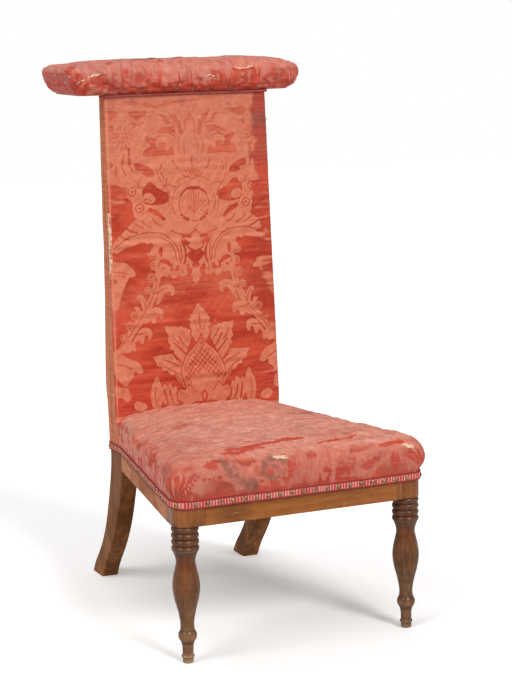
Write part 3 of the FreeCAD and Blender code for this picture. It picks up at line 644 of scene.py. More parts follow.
def outward_ways(ring, reach):
    """Outward ways of a closed ring in plan that starts in the middle of the rear."""
    along = np.roll(ring, -reach, 0) - np.roll(ring, reach, 0)
    ways = unit(np.column_stack([along[:, 1], -along[:, 0]]))
    return ways * np.sign(ways[0, 1])


def tube(path, radius, sides):
    """Points and faces of a round tube along a path; radius is one number or one for each point."""
    along = unit(np.gradient(path, axis=0))
    up = np.where(np.abs(along[:, 2:]) < 0.9, [[0.0, 0, 1]], [[1.0, 0, 0]])
    side = unit(np.cross(along, up))
    top = np.cross(side, along)
    turn = np.arange(sides) * 2 * math.pi / sides
    ring = side[:, None] * np.cos(turn)[None, :, None] + top[:, None] * np.sin(turn)[None, :, None]
    radius = np.broadcast_to(radius, len(path))
    return (path[:, None] + ring * radius[:, None, None]).reshape(-1, 3), capped_faces(len(path), sides)


def joined(name, parts):
    """One object from several sets of points and faces."""
    points, faces, start = [], [], 0
    for p, f in parts:
        points.append(p)
        faces += [tuple(v + start for v in face) for face in f]
        start += len(p)
    obj = mesh_object(name, np.vstack(points), faces)
    outward(obj)
    return obj


# Materials


class Value:
    """Output of a node, with arithmetic that adds nodes."""

    def __init__(self, nodes, socket):
        self.nodes, self.socket = nodes, socket

    def __add__(self, other):
        return self.nodes.math("ADD", self, other)

    def __sub__(self, other):
        return self.nodes.math("SUBTRACT", self, other)

    def __mul__(self, other):
        return self.nodes.math("MULTIPLY", self, other)

    def __abs__(self):
        return self.nodes.math("ABSOLUTE", self)

    def span(self, low, high, to_low=0.0, to_high=1.0):
        """Value that turns smoothly from one number to another between low and high."""
        return self.nodes.add("MapRange", settings={"interpolation_type": "SMOOTHSTEP"}, n0=self, n1=low,
                              n2=high, n3=to_low, n4=to_high)


class Nodes:
    """Short hand for the node tree of a material or world."""

    def __init__(self, owner, empty=False):
        owner.use_nodes = True
        self.owner = owner
        self.tree = owner.node_tree
        if empty:
            self.tree.nodes.clear()

    def plug(self, socket, value):
        if isinstance(value, Value):
            self.tree.links.new(value.socket, socket)
        elif isinstance(value, tuple) and socket.type == "RGBA":
            socket.default_value = (*value, 1)
        else:
            socket.default_value = value

    def add(self, kind, output=0, settings=(), **inputs):
        """Output of a new node; inputs are named, or n and a number."""
        node = self.tree.nodes.new("ShaderNode" + kind)
        for key, value in dict(settings).items():
            setattr(node, key, value)
        for key, value in inputs.items():
            self.plug(node.inputs[int(key[1:]) if key[1:].isdigit() else key.replace("_", " ")], value)
        return Value(self, node.outputs[output]) if node.outputs else node

    def math(self, operation, a, b=0.0):
        return self.add("Math", settings={"operation": operation}, n0=a, n1=b)

    def mix(self, factor, a, b):
        return self.add("Mix", 2, {"data_type": "RGBA"}, n0=factor, n6=a, n7=b)

    def over(self, colour, *layers):
        """A colour with others over it, each where a value goes from low to high, up to a strength."""
        for value, low, high, strength, tone in layers:
            colour = self.mix(value.span(low, high, 0, strength), colour, tone)
        return colour

    def value(self, name):
        return self.add("Attribute", 2, {"attribute_name": name})

    def flat_place(self):
        return self.add("Attribute", 1, {"attribute_name": "cloth"})

    def noise(self, vector, scale, detail=3.0, roughness=0.5, stretch=(1, 1, 1)):
        vector = self.add("Mapping", Vector=vector, Scale=stretch)
        return self.add("TexNoise", Vector=vector, Scale=scale, Detail=detail, Roughness=roughness)

    def wave(self, vector, way, scale, distortion, detail):
        return self.add("TexWave", 1, {"bands_direction": way}, Vector=vector, Scale=scale,
                        Distortion=distortion, Detail=detail)

    def bumped(self, height, strength, distance, **after):
        return self.add("Bump", Strength=strength, Distance=distance, Height=height, **after)

    def finish(self, **sockets):
        shader = self.tree.nodes["Principled BSDF"]
        for key, value in sockets.items():
            self.plug(shader.inputs[key.replace("_", " ")], value)
        return self.owner


def scaled(colour, share):
    return tuple(share * c for c in colour)


def silk(name, ground, figure, worn, side=None, streaky=1.0, weft_stretch=(0.2, 4.5, 1)):
    """Satin damask: a glossy ground, a duller woven figure, weft slubs, split threads and worn places."""
    n = Nodes(bpy.data.materials.new(name))
    cloth = n.flat_place()
    damask = n.value("damask")
    wear = n.value("wear")
    red = n.value("red")
    woven = damask.span(-0.8, 0.8)
    slub = n.noise(cloth, 0.05, 4, 0.62, (0.22, 5.5, 1))
    weft = n.noise(cloth, 0.1, 4, 0.72, weft_stretch) - 0.5
    streak = n.noise(cloth, 0.03, 4, 0.6, (0.3, 2.0, 1))
    broad = n.noise(cloth, 0.011, 3, 0.55, (1, 2.4, 1))
    thread = n.noise(cloth, 1.0, 2, 0.5, (0.25, 2.6, 1))
    mottle = n.noise(cloth, 0.05, 6, 0.78, (1, 1.3, 1))
    fibre = n.noise(cloth, 0.5, 4, 0.7, (1, 0.35, 1))
    tone = n.mix(broad.span(0.36, 0.64), ground[0], ground[1])
    tone = n.over(tone, (streak, 0.5, 0.75, 0.5, ground[2]), (slub, 0.58, 0.74, 0.3, ground[2]))
    tone = n.mix(abs(damask + 0.9).span(0.0, 2.0, 0.22, 0), tone, scaled(ground[0], 0.62))
    pattern = n.over(n.mix(mottle.span(0.3, 0.7), *figure), (thread, 0.5, 0.75, 0.3, tone))
    colour = n.mix(woven, tone, pattern)
    rubbed = wear + (slub - 0.5) * (0.7 * streaky) + (mottle - 0.5) * 0.5 + (broad - 0.5) * 0.5
    pale = n.mix(mottle.span(0.36, 0.64), *worn)
    pale = n.mix(slub.span(0.35, 0.46, 0.5 * streaky, 0), pale, tone)
    colour = n.over(colour, (rubbed, 0.12, 0.9, 0.9, pale))
    split = abs(n.noise(cloth, 0.035, 3, 0.7, (0.35, 6, 1)) - 0.5).span(0.0, 0.012, 1, 0)
    split = split * n.noise(cloth, 0.03, 2, 0.5).span(0.45, 0.62) * wear.span(0.15, 0.7)
    colour = n.mix(split * 0.7, colour, (0.36, 0.052, 0.032))
    deep = n.mix(slub.span(0.36, 0.64), (0.45, 0.045, 0.028), (0.6, 0.085, 0.045))
    colour = n.mix((red + weft * 1.5).span(0.24, 0.74) * red.span(0, 0.3), colour, deep)
    if side:
        plain = n.mix((mottle * 0.4 + slub * 0.6).span(0.36, 0.64), *side)
        colour = n.over(colour, (n.value("side"), 0.3, 0.7, 1, plain))
    # Pale pink where glint is high: a painted highlight on fold crests, pleat ridges, the back's left welt
    # and the flap at the arm rest's left end.
    colour = n.over(colour, (n.value("glint"), 0.15, 0.95, 0.6, (0.76, 0.3, 0.2)))
    # Dark brown over stains, and over painted shade at the right edge of the back and on the lower front of
    # the arm rest.
    stain = n.value("stain") * n.noise(cloth, 0.12, 4, 0.7).span(0.25, 0.52)
    colour = n.mix(stain * 0.8, colour, (0.22, 0.082, 0.06))
    torn = (n.value("tear") + (fibre - 0.5) * 0.55).span(0.45, 0.62)
    colour = n.mix(torn, colour, n.mix(fibre.span(0.4, 0.56), (0.56, 0.27, 0.15), (0.82, 0.6, 0.42)))
    rough = n.math("MAXIMUM", woven.span(0, 1, 0.42, 0.56), rubbed.span(0.2, 0.8, 0.42, 0.66))
    rough = n.math("MAXIMUM", rough, torn.span(0, 1, 0, 0.9))
    height = woven * 0.14 + slub * (0.3 * streaky) + mottle * 0.25 - split * 0.5 - torn * 0.5
    weave = n.bumped(n.wave(cloth, "Y", 0.9, 0.6, 1.0), 0.12, 0.0002)
    return n.finish(Base_Color=colour, Roughness=rough, Normal=n.bumped(height, 0.6, 0.0016, Normal=weave),
                    Sheen_Weight=0.05, Sheen_Roughness=0.4, Specular_IOR_Level=0.14)


def wood(name, dark, light, along, gloss=0.34, tones=(), mirror=0.3, blotch=0.0):
    """Polished wood with grain along an axis, darker in hollows and lighter where hands and feet rub.

    tones are heights in metres between which the wood turns to a dark and a light colour of its own.
    """
    n = Nodes(bpy.data.materials.new(name))
    place = n.add("TexCoord", "Object")
    stretch = tuple(0.5 if axis == along else 9.0 for axis in range(3))
    fibre = n.noise(place, 14, 6, 0.65, stretch)
    pores = n.noise(place, 60, 2, 0.5, scaled(stretch, 3))
    patch = n.noise(place, 9, 3, 0.5)
    scratch = n.noise(place, 45, 4, 0.75)
    speck = n.noise(place, 170, 2, 0.5)
    rubbed = n.noise(place, 30, 5, 0.7, tuple(0.4 * s + 0.4 for s in stretch))
    height = n.add("SeparateXYZ", 2, Vector=place) + (patch - 0.5) * 0.02
    for start, end, new_dark, new_light in tones:
        here = height.span(start, end)
        dark = n.mix(here, dark, new_dark)
        light = n.mix(here, light, new_light)
    shade = n.mix(0.6, dark, (0.05, 0.022, 0.012))
    shine = n.mix(0.35, light, (0.75, 0.52, 0.34))
    colour = n.mix(fibre.span(0.25, 0.75), dark, light)
    if blotch:
        cloud = n.noise(place, 38, 4, 0.6, (1, 1, 0.8))
        turning = n.noise(place, 9, 3, 0.6, (1, 1, 30))
        colour = n.over(colour, (cloud, 0.5, 0.68, blotch, light), (cloud, 0.5, 0.34, blotch, shade),
                        (turning, 0.56, 0.7, 0.35, shade))
    colour = n.over(colour, (pores, 0.56, 0.72, 0.4, shade), (patch, 0.44, 0.66, 0.6, shade),
                    (scratch, 0.66, 0.76, 0.45, shine), (speck, 0.66, 0.74, 0.6, shade),
                    (rubbed, 0.58, 0.7, 0.4, shine), (rubbed, 0.42, 0.3, 0.55, shade))
    colour = n.mix(n.value("hollow") * 0.8, colour, (0.03, 0.012, 0.006))
    grain = n.bumped(fibre, 0.2, 0.0008)
    return n.finish(Base_Color=colour, Roughness=patch.span(0.3, 0.8, gloss - 0.08, gloss + 0.18),
                    Normal=n.bumped(scratch, 0.2, 0.0006, Normal=grain), Specular_IOR_Level=mirror)


def cloth(name, dark, light, weave=900.0):
    """Plain coarse cloth: crossed threads with uneven tone."""
    n = Nodes(bpy.data.materials.new(name))
    place = n.add("TexCoord", "Object")
    warp, weft = (n.wave(place, way, weave / 20, 1.5, 2.0) for way in "XY")
    threads = warp * weft
    patch = n.noise(place, 25, 4, 0.6)
    colour = n.over(n.mix(threads.span(0.1, 0.8), dark, light), (patch, 0.4, 0.75, 0.5, scaled(dark, 0.6)))
    return n.finish(Base_Color=colour, Roughness=0.9, Normal=n.bumped(threads, 0.5, 0.0006))


def metal(name, tone, dull):
    n = Nodes(bpy.data.materials.new(name))
    patch = n.noise(n.add("TexCoord", "Object"), 350, 4, 0.6)
    return n.finish(Base_Color=n.mix(patch.span(0.38, 0.66), dull, tone), Metallic=0.7,
                    Roughness=patch.span(0.3, 0.7, 0.62, 0.3), Normal=n.bumped(patch, 0.3, 0.0003))


def braid(name, ground, bar, edge):
    n = Nodes(bpy.data.materials.new(name))
    thread = n.noise(n.flat_place(), 1.6, 3, 0.6)
    colour = n.over(ground, (n.value("bar"), 0.35, 0.65, 1, bar), (n.value("edge"), 0.3, 0.7, 1, edge),
                    (thread, 0.45, 0.75, 0.4, scaled(ground, 0.45)))
    return n.finish(Base_Color=colour, Roughness=0.75, Normal=n.bumped(thread, 0.5, 0.0006))


def dress(obj, material):
    obj.data.materials.clear()
    obj.data.materials.append(material)
    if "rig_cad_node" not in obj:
        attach(obj, "root")


# Camera, floor and light

AZIMUTH, ELEVATION, ROLL = math.radians(-23.846), math.radians(9.91), math.radians(-1.18)
EYE = (-1357.5, -2888.7, 1072.1)
FOCAL_PIXELS, FRAME_HEIGHT = 1967.1, 698


def make_camera():
    ahead = Vector((-math.sin(AZIMUTH) * math.cos(ELEVATION), math.cos(AZIMUTH) * math.cos(ELEVATION),
                    -math.sin(ELEVATION)))
    right = ahead.cross(Vector((0, 0, 1))).normalized()
    up = right.cross(ahead)
    rolled_right = math.cos(ROLL) * right + math.sin(ROLL) * up
    rolled_up = math.cos(ROLL) * up - math.sin(ROLL) * right
    data = bpy.data.cameras.new("camera")
    data.sensor_fit = "VERTICAL"
    data.sensor_height = 36
    data.lens = FOCAL_PIXELS / FRAME_HEIGHT * data.sensor_height
    camera = placed("camera", data)
    turn = Matrix((rolled_right, rolled_up, -ahead)).transposed().to_4x4()
    camera.matrix_world = Matrix.Translation(Vector(metres(EYE))) @ turn
    bpy.context.scene.camera = camera


def sun(name, toward, angle, strength):
    """Broad soft lamp that shines the same everywhere."""
    data = bpy.data.lights.new(name, "SUN")
    data.angle = math.radians(angle)
    data.energy = strength
    placed(name, data).rotation_euler = Vector(toward).to_track_quat("-Z", "Y").to_euler()


def make_stage():
    white = (1.0, 1.0, 1.0)
    scene = bpy.context.scene
    scene.view_settings.view_transform = "Standard"
    scene.world = bpy.data.worlds.new("world")
    n = Nodes(scene.world, empty=True)
    seen = n.math("MAXIMUM", n.add("LightPath", "Is Camera Ray"), n.add("LightPath", "Is Transmission Ray"))
    n.add("OutputWorld", Surface=n.add("MixShader", n0=seen,
                                       n1=n.add("Background", Color=white, Strength=0.42),
                                       n2=n.add("Background", Color=white, Strength=1.0)))

    floor = mesh_object("floor", [(-6000, -6000, -0.3), (6000, -6000, -0.3), (6000, 9000, -0.3),
                                  (-6000, 9000, -0.3)], [(0, 1, 2, 3)])
    n = Nodes(bpy.data.materials.new("floor"), empty=True)
    camera_ray = n.add("LightPath", "Is Camera Ray")
    # For the camera the floor glows, weakly within a long oval round the chair and more beyond it, which
    # paints light over the farther shadows.
    narrow = n.add("VectorMath", 0, {"operation": "MULTIPLY"}, n0=n.add("NewGeometry"), n1=(3.136, 1, 1))
    away = n.add("VectorMath", 1, {"operation": "DISTANCE"}, n0=narrow, n1=(0.097, -0.313, 0))
    fade = n.add("MapRange", n0=away, n1=0.5, n2=0.857, n3=0.083, n4=0.292)
    matt = n.add("MixShader", n0=camera_ray, n1=n.add("BsdfDiffuse", Color=(0.75, 0.75, 0.75)),
                 n2=n.add("BsdfDiffuse", Color=(0.98, 0.98, 0.98)))
    glow = n.add("Emission", Color=white, Strength=camera_ray * fade)
    n.add("OutputMaterial", Surface=n.add("AddShader", n0=matt, n1=glow))
    floor.data.materials.append(n.owner)

    sun("front_lamp", (-0.2, 1, -0.8), 18, 1.75)
    sun("left_lamp", (1, 0.3, -0.9), 36, 1.22)


# Marks of wear, stains, dents and painted highlights (glint): kind, width, strength, and points on the flat
# cloth (for the arm rest, seen from the front)

SEAT_STROKES = read_rows("""
red 7 0.9 -118,34 -96,40 -70,43 -40,47 -8,52 22,58
red 5 0.8 -130,26 -108,22 -88,30 -60,34
tear 3 1.2 -52,2 -42,0 -30,-2
red 8 0.8 -165,2 -150,6 -140,4
stain 7 1 -142,8 -138,-8 -124,-24 -104,-36 -84,-38
stain 5.5 0.9 -150,4 -136,2 -124,-10
stain 6.2 1 -38,-8 -48,-2 -62,-3 -71,-12 -72,-24 -63,-33 -50,-32
stain 4 0.9 -44,-22 -50,-14 -58,-14
stain 5 0.7 -34,0 -32,-14 -38,-26
red 5 0.9 -86,-42 -66,-41 -44,-40 -26,-34
red 3 0.8 -62,-22 -56,-26 -50,-24
red 3 0.9 28,-38 33,-46 42,-46 47,-38 43,-31 35,-31
red 8 0.8 62,-44 72,-36 84,-32 92,-24
red 7 0.7 112,-30 124,-28 136,-22
red 3 0.9 40,24 62,27 94,29 116,36
red 5 0.9 150,-2 168,2 186,4
tear 2.6 1.2 184,-4 193,-5 202,-8
red 7 0.8 -206,205 -200,185 -204,168
red 9 0.6 -214,160 -222,130 -228,110
stain 8 0.35 -190,140 -170,120 -150,108
tear 1.6 0.8 -222,99 -226,97
red 4 0.9 -246,-26 -220,-38 -190,-42 -150,-43
dip 3 1 -252,-18 -232,-22 -210,-20
dip 1.8 0.8 -190,-34 -160,-32 -140,-36 -110,-35
stain 7 0.4 -206,-8 -200,-22 -194,-30
red 5 0.6 -232,52 -214,62 -190,70
red 2.5 1 -182,-20 -164,-23 -150,-22
red 3 0.8 250,-18 232,-20 216,-20
red 6 0.8 196,-20 206,-26 216,-30
""")
BACK_STROKES = read_rows("""
tear 3.2 1 -161,706 -163,690 -160,664 -164,640 -162,615 -164,600
tear 2.5 0.8 -166,610 -167,596 -166,584
stain 3 1 -166,668 -167,640 -168,606
tear 1.5 1 -176,372 -170,371
red 4 0.5 -120,905 -60,896 -20,902
""")
REST_STROKES = read_rows("""
tear 1.7 0.95 -192,952 -184,956 -172,957
tear 1.5 0.9 -214,941 -208,946 -200,948
red 4 0.8 86,959 104,958 128,959
tear 1.4 1 88,963 100,961 112,961 126,963
tear 1.1 0.85 26,944 38,950 50,946
tear 1 0.8 30,940 42,944 52,941
glint 7 0.9 -184,925 -174,929 -162,928
glint 3 0.8 -206,934 -203,940 -198,944
red 1.8 1 -192,922 -180,931 -170,938 -158,936 -146,934
dip 2.2 1 -192,922 -180,931 -170,938 -158,936 -146,934
dip 3 1 -216,926 -210,938 -214,950
red 5 0.9 -170,952 -167,945 -168,938
dip 3 0.9 -172,952 -170,944 -172,936
dip 3 1 86,966 106,965 128,967
red 1.6 1 -90,929 -40,927 20,928 70,926 130,927
dip 2.2 1 -120,931 -60,929 0,930 70,928 130,929
red 5 0.7 -214,925 -204,940 -212,955
red 5 0.6 150,940 170,946 186,938
stain 4 0.6 -172,962 -164,956
""")


def strokes(rows, flat, kind):
    """Strength of the strokes of one kind, falling softly to 0 beside them."""
    out = np.zeros(flat.shape[:-1])
    x, y = flat[..., 0], flat[..., 1]
    for word, (width, strength), points in rows:
        line = smooth_line(points, False)
        low, high = line.min(0) - 2 * width, line.max(0) + 2 * width
        near = (x > low[0]) & (x < high[0]) & (y > low[1]) & (y < high[1])
        if word == kind and near.any():
            d = line_distance(x[near], y[near], line, False)[0]
            spot = spots(x[near], y[near])
            ragged = 0.8 * noise(spot, (2.2 * width, width, 1), 17) + 0.4 * noise(spot, width / 2, 18)
            d = d + width * ragged
            out[near] = np.maximum(out[near], strength * np.clip(1.4 - d / width, 0, 1))
    return out


def finish_silk(obj, flat, damask, wear, hidden=0, **marks):
    """Stores what the silk's material reads at each point; hidden rows before the first are like it."""
    def whole(values):
        return np.concatenate([np.repeat(values[:1], hidden, 0), values])

    store_place(obj, whole(flat))
    store(obj, "damask", whole(damask))
    store(obj, "wear", whole(np.clip(wear, 0, 1)))
    for name in ("red", "tear", "stain", "glint", "side"):
        store(obj, name, whole(marks.get(name, np.zeros(flat.shape[:-1]))))


# Seat cushion

# Height, then how far the outline is drawn in at the sides, at the rear corners and at the rear
SEAT_ROWS = [(268, 0, 0, 0), (275, 0, 0, 0), (283, 0, 0, 0), (288, -1.5, 0, 0), (295, -3.5, 0, 0),
             (304, -4.5, 1, 0), (314, -4, 2, 0), (323, -2, 6, 0), (331, 2, 18, 0), (337.4, 8, 42, 0),
             (341.8, 15, 75, 6), (345.3, 25, 100, 20), (348.3, 40, 115, 55), (350.6, 62, 125, 100),
             (352.1, 95, 133, 160), (352.8, 130, 140, 200)]
# Height, how far drawn in, and how far outside the frame, for the rings inside the skirt
SEAT_INSIDE = [(300.6, 6, -4), (299, 0, 0.3), (284, 0, 0.3), (268.6, 0, 0.3), (267.4, 0, 1)]
SKIRT_TOP = 284


def half_path(points, counts):
    """Even points along a chain, with one count for each stretch."""
    out = []
    for a, b, count in zip(points, points[1:], counts):
        out += [lerp(np.array(a), np.array(b), t) for t in np.linspace(0, 1, count, endpoint=False)]
    return out + [np.array(points[-1])]


def mirrored_ring(right):
    """Closed ring from its right half, which starts and ends on the middle line."""
    right = np.array(right)
    return np.vstack([right, right[-2:0:-1] * [-1, 1]])


def arc(centre, radius, start, end, count):
    return [(centre[0] + radius * math.cos(t), centre[1] + radius * math.sin(t))
            for t in np.linspace(start, end, count)]


def seat_outline(side_in, rear_side_in, rear_in, grow=COVER):
    """Plan of the seat at one level: a closed ring that starts in the middle of the rear."""
    out = grow / math.cos(SIDE_ANGLE)
    half = FRONT_HALF - side_in + out
    rear = FRONT_HALF - CUSHION_REAR * SLOPE - rear_side_in + out
    angle = math.atan((half - rear) / CUSHION_REAR)
    front = side_in - grow
    radius = RING_RADIUS + grow + abs(side_in) * 0.25
    x = half - (radius + (front + radius) * math.sin(angle)) / math.cos(angle)
    back_y = CUSHION_REAR - rear_in
    heel = (half - back_y * math.tan(angle), back_y)
    corner = arc((x, front + radius), radius, angle, -math.pi / 2, 55)
    return mirrored_ring(half_path([(0, back_y), heel, corner[0]], (44, 150))[:-1] + corner[:-1]
                         + half_path([corner[-1], (0, front)], (72,)))


def ring_at(outline, z):
    return np.column_stack([outline, np.full(len(outline), z)])


def seat_surface():
    """Rings of the outer face of the cushion, and the place of each point on the flat cloth."""
    rings = [ring_at(seat_outline(s, r, b), z) for z, s, r, b in curve_through(SEAT_ROWS, 74)]
    last = rings[-1]
    for t in np.linspace(0, 1, 34)[1:-1]:
        ring = lerp(last, last.mean(0), t)
        ring[:, 2] = last[0, 2] + 1.2 * math.sin(t * math.pi / 2)
        rings.append(ring)
    grid = np.array(rings)
    step = np.linalg.norm(np.diff(grid, axis=0), axis=2)
    plan = np.linalg.norm(np.diff(grid[..., :2], axis=0), axis=2)
    spare = np.vstack([np.cumsum((step - plan)[::-1], axis=0)[::-1], np.zeros((1, grid.shape[1]))])
    return grid, grid[..., :2] + outward_ways(grid[10, :, :2], 1)[None] * spare[..., None]


def seat_cushion():
    grid, flat = seat_surface()
    n = normals(grid, -20, 0, (0, 0, 1), True)
    x, y, z = np.moveaxis(grid, -1, 0)
    across, rows = flat[..., 0], flat[..., 1]
    folds = spots(across, rows)
    on_top = rise(z, 318, 25)
    on_side = 1 - on_top
    front = fall(z, 343, 12) * fall(y, 48, 12)
    firm = np.where(z < SKIRT_TOP, 1.0, 0.16 + 0.1 * on_top)
    grid = grid + settled(grid, True, (3, 3), firm, 0.035, 1.5, 7)
    lift = 0.8 * layered(folds, (90, 70, 1), 3)
    lift += 0.07 * creases(folds, (110, 19, 1), 7) * (0.35 + 0.65 * on_top)
    lift += 0.07 * layered(folds, (60, 7, 1), 11) + 1.9 * noise(folds, (12, 15, 1), 13) * rise(x, 150, 50)
    rumpled = bump(across, -196, 26) * rise(rows, 50, 50)
    crinkle = creases(folds, (17, 9, 1), 15)
    lift += 2.0 * rumpled * (0.25 - crinkle)
    # Pleats fan out from the front corners
    deep = np.zeros_like(x)
    ridges = np.zeros_like(x)
    for side, depth in ((-1, 1.0), (1, 0.7)):
        out, back = x * side - 200, y - 34
        turn = np.clip(np.arctan2(back, out), -math.pi / 2, 0) + math.pi / 4
        along = 36 * turn + np.maximum(back, 0) * (out > 0) - np.maximum(-out, 0) * (back < 0)
        fan = along / (np.maximum(z, 280) - 275)
        pleat = np.cos(fan * 25 + 1.5 * noise(folds, (14, 14, 1), 5)) + 0.4 * np.cos(fan * 11 + 1)
        here = depth * rise(z, 282, 4) * (1 - rise(np.abs(fan + 0.1), 0.55, 0.4))
        here *= 1 - rise(z - 316, 9 * noise(folds, (9, 9, 1), 6), 9)
        lift += 0.9 * pleat * here
        deep = np.maximum(deep, here * (0.4 + fall(pleat, 0.5, 0.6)))
        # ridges marks the pleat crests, which get a painted highlight and less deep red; deep marks the
        # valleys.
        ridges = np.maximum(ridges, here * rise(pleat, 0.55, 0.35))
    lift -= 1.6 * strokes(SEAT_STROKES, flat, "dip")
    # Pulls at the nails
    lift -= 0.5 * (1 + np.cos(across * 2 * math.pi / 21)) * bump(z, 287, 8) * 0.7
    grid = grid + n * (lift * rise(z, SKIRT_TOP, 14))[..., None]
    inside = np.array([ring_at(seat_outline(s, 0, 0, grow), level) for level, s, grow in SEAT_INSIDE])
    obj = grid_object("seat_cushion", np.concatenate([inside, grid]), True, caps=(0, -1))

    worn = 0.22 + 0.43 * on_top - 0.2 * rise(-x, 130, 70) * on_top + 0.3 * layered(folds, (60, 22, 1), 21)
    worn += 0.25 * bump(rows, 150, 90) * bump(x, 10, 120) * on_top - 0.42 * front
    worn += 0.35 * bump(x, -150, 50) * on_side + 0.2 * layered(folds, (14, 9, 1), 27) * on_side
    flank = rise(-x, 150, 30) * rise(y, 40, 30)
    line = bump(z, 283, 5 + 3 * noise(folds, (25, 1e4, 1), 28)) * (0.7 + 0.5 * noise(folds, (14, 30, 1), 29))
    red = highest(
        1.4 * deep,
        0.7 * patches(folds, (24, 26, 1), 23, 0.12, 0.3) * on_side,
        0.35 * patches(folds, (46, 13, 1), 24, 0.36, 0.2) * on_top,
        0.75 * patches(folds, (13, 20, 1), 25, 0.02, 0.3) * bump(x, 0, 110) * front,
        0.8 * flank * patches(folds, (14, 18, 1), 26, 0.16, 0.2) * (1 - 0.6 * on_top),
        0.9 * rumpled * crinkle,
        0.36 * front * bump(x, 30, 130))
    red = highest(red * (1 - 0.9 * ridges), line, strokes(SEAT_STROKES, flat, "red"))
    dirt = 0.25 + 0.2 * layered(folds, (30, 30, 1), 30)
    dirt = dirt * np.maximum(front, 0.7 * rise(-x, 120, 80) * on_top)
    figure = 0.35 * damask_at(across, 640 - rows) * (1 - rise(np.abs(x), 140, 30))
    figure += 1 + 2.6 * layered(folds, (34, 22, 1), 33)
    # The glint value is a painted highlight on the pleat crests and between the crinkles.
    finish_silk(obj, flat, figure, worn, len(inside), red=np.clip(red, 0, 1),
                tear=strokes(SEAT_STROKES, flat, "tear"),
                stain=np.maximum(dirt, strokes(SEAT_STROKES, flat, "stain")),
                glint=np.maximum(ridges, 0.6 * rumpled * fall(crinkle, 0.04, 0.04)))
    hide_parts("seat_cover", "seat_stuffing")
    return obj


# Back

CROWN_HEIGHTS = [318, 402, 499, 643, 781, 872, 920]
CROWN = [0.9, 7.2, 9.0, 9.0, 7.2, 4.5, 1.8]
FULL_HEIGHTS = [318, 356, 392, 430, 468, 543, 636, 727, 818, 920]
FULLNESS = [0.2, 4.4, 11, 10.5, 8.3, 3.3, 1.3, 2.8, 3.3, 3.3]
COVER_FOOT, COVER_TOP = 267, 918


def up_the_back(z):
    return np.clip((z - BACK_FOOT) / (BACK_TOP - BACK_FOOT), 0, 1)


def front_line(z):
    return BACK_FRONT + (z - BACK_FOOT) * LEAN


def rear_line(z):
    return REAR_FACE + (front_line(BACK_TOP) + TOP_DEPTH - REAR_FACE) * up_the_back(z)


def half_width(z):
    return REAR_HALF - (REAR_HALF - TOP_HALF) * up_the_back(z)


def side_middle(z):
    return (front_line(z) + rear_line(z)) / 2


def wrapped_rows(levels, starts, faces, crowns, radius, side_steps, face_steps, way):
    """Rows of a cover that wraps both sides of the back, and their places on the flat cloth."""
    grid, flat = [], []
    for half, end, front, crown, z in zip(half_width(levels) + COVER, starts, faces, crowns, levels):
        left = [(-half, lerp(end, front - way * radius, t)) for t in np.linspace(0, 1, side_steps)]
        left += [(-half + radius - radius * math.cos(a), front - way * radius + way * radius * math.sin(a))
                 for a in (0.3, 0.7, 1.1, 1.4)]
        middle = [((half - radius) * t, front + way * crown * (1 - t * t))
                  for t in np.linspace(-1, 1, face_steps)]
        row = np.array(left + middle + [(-px, py) for px, py in reversed(left)])
        run = lengths(row)
        flat.append(np.column_stack([run - run[-1] / 2, np.full(len(row), z)]))
        grid.append(ring_at(row, z))
    return np.array(grid), np.array(flat)


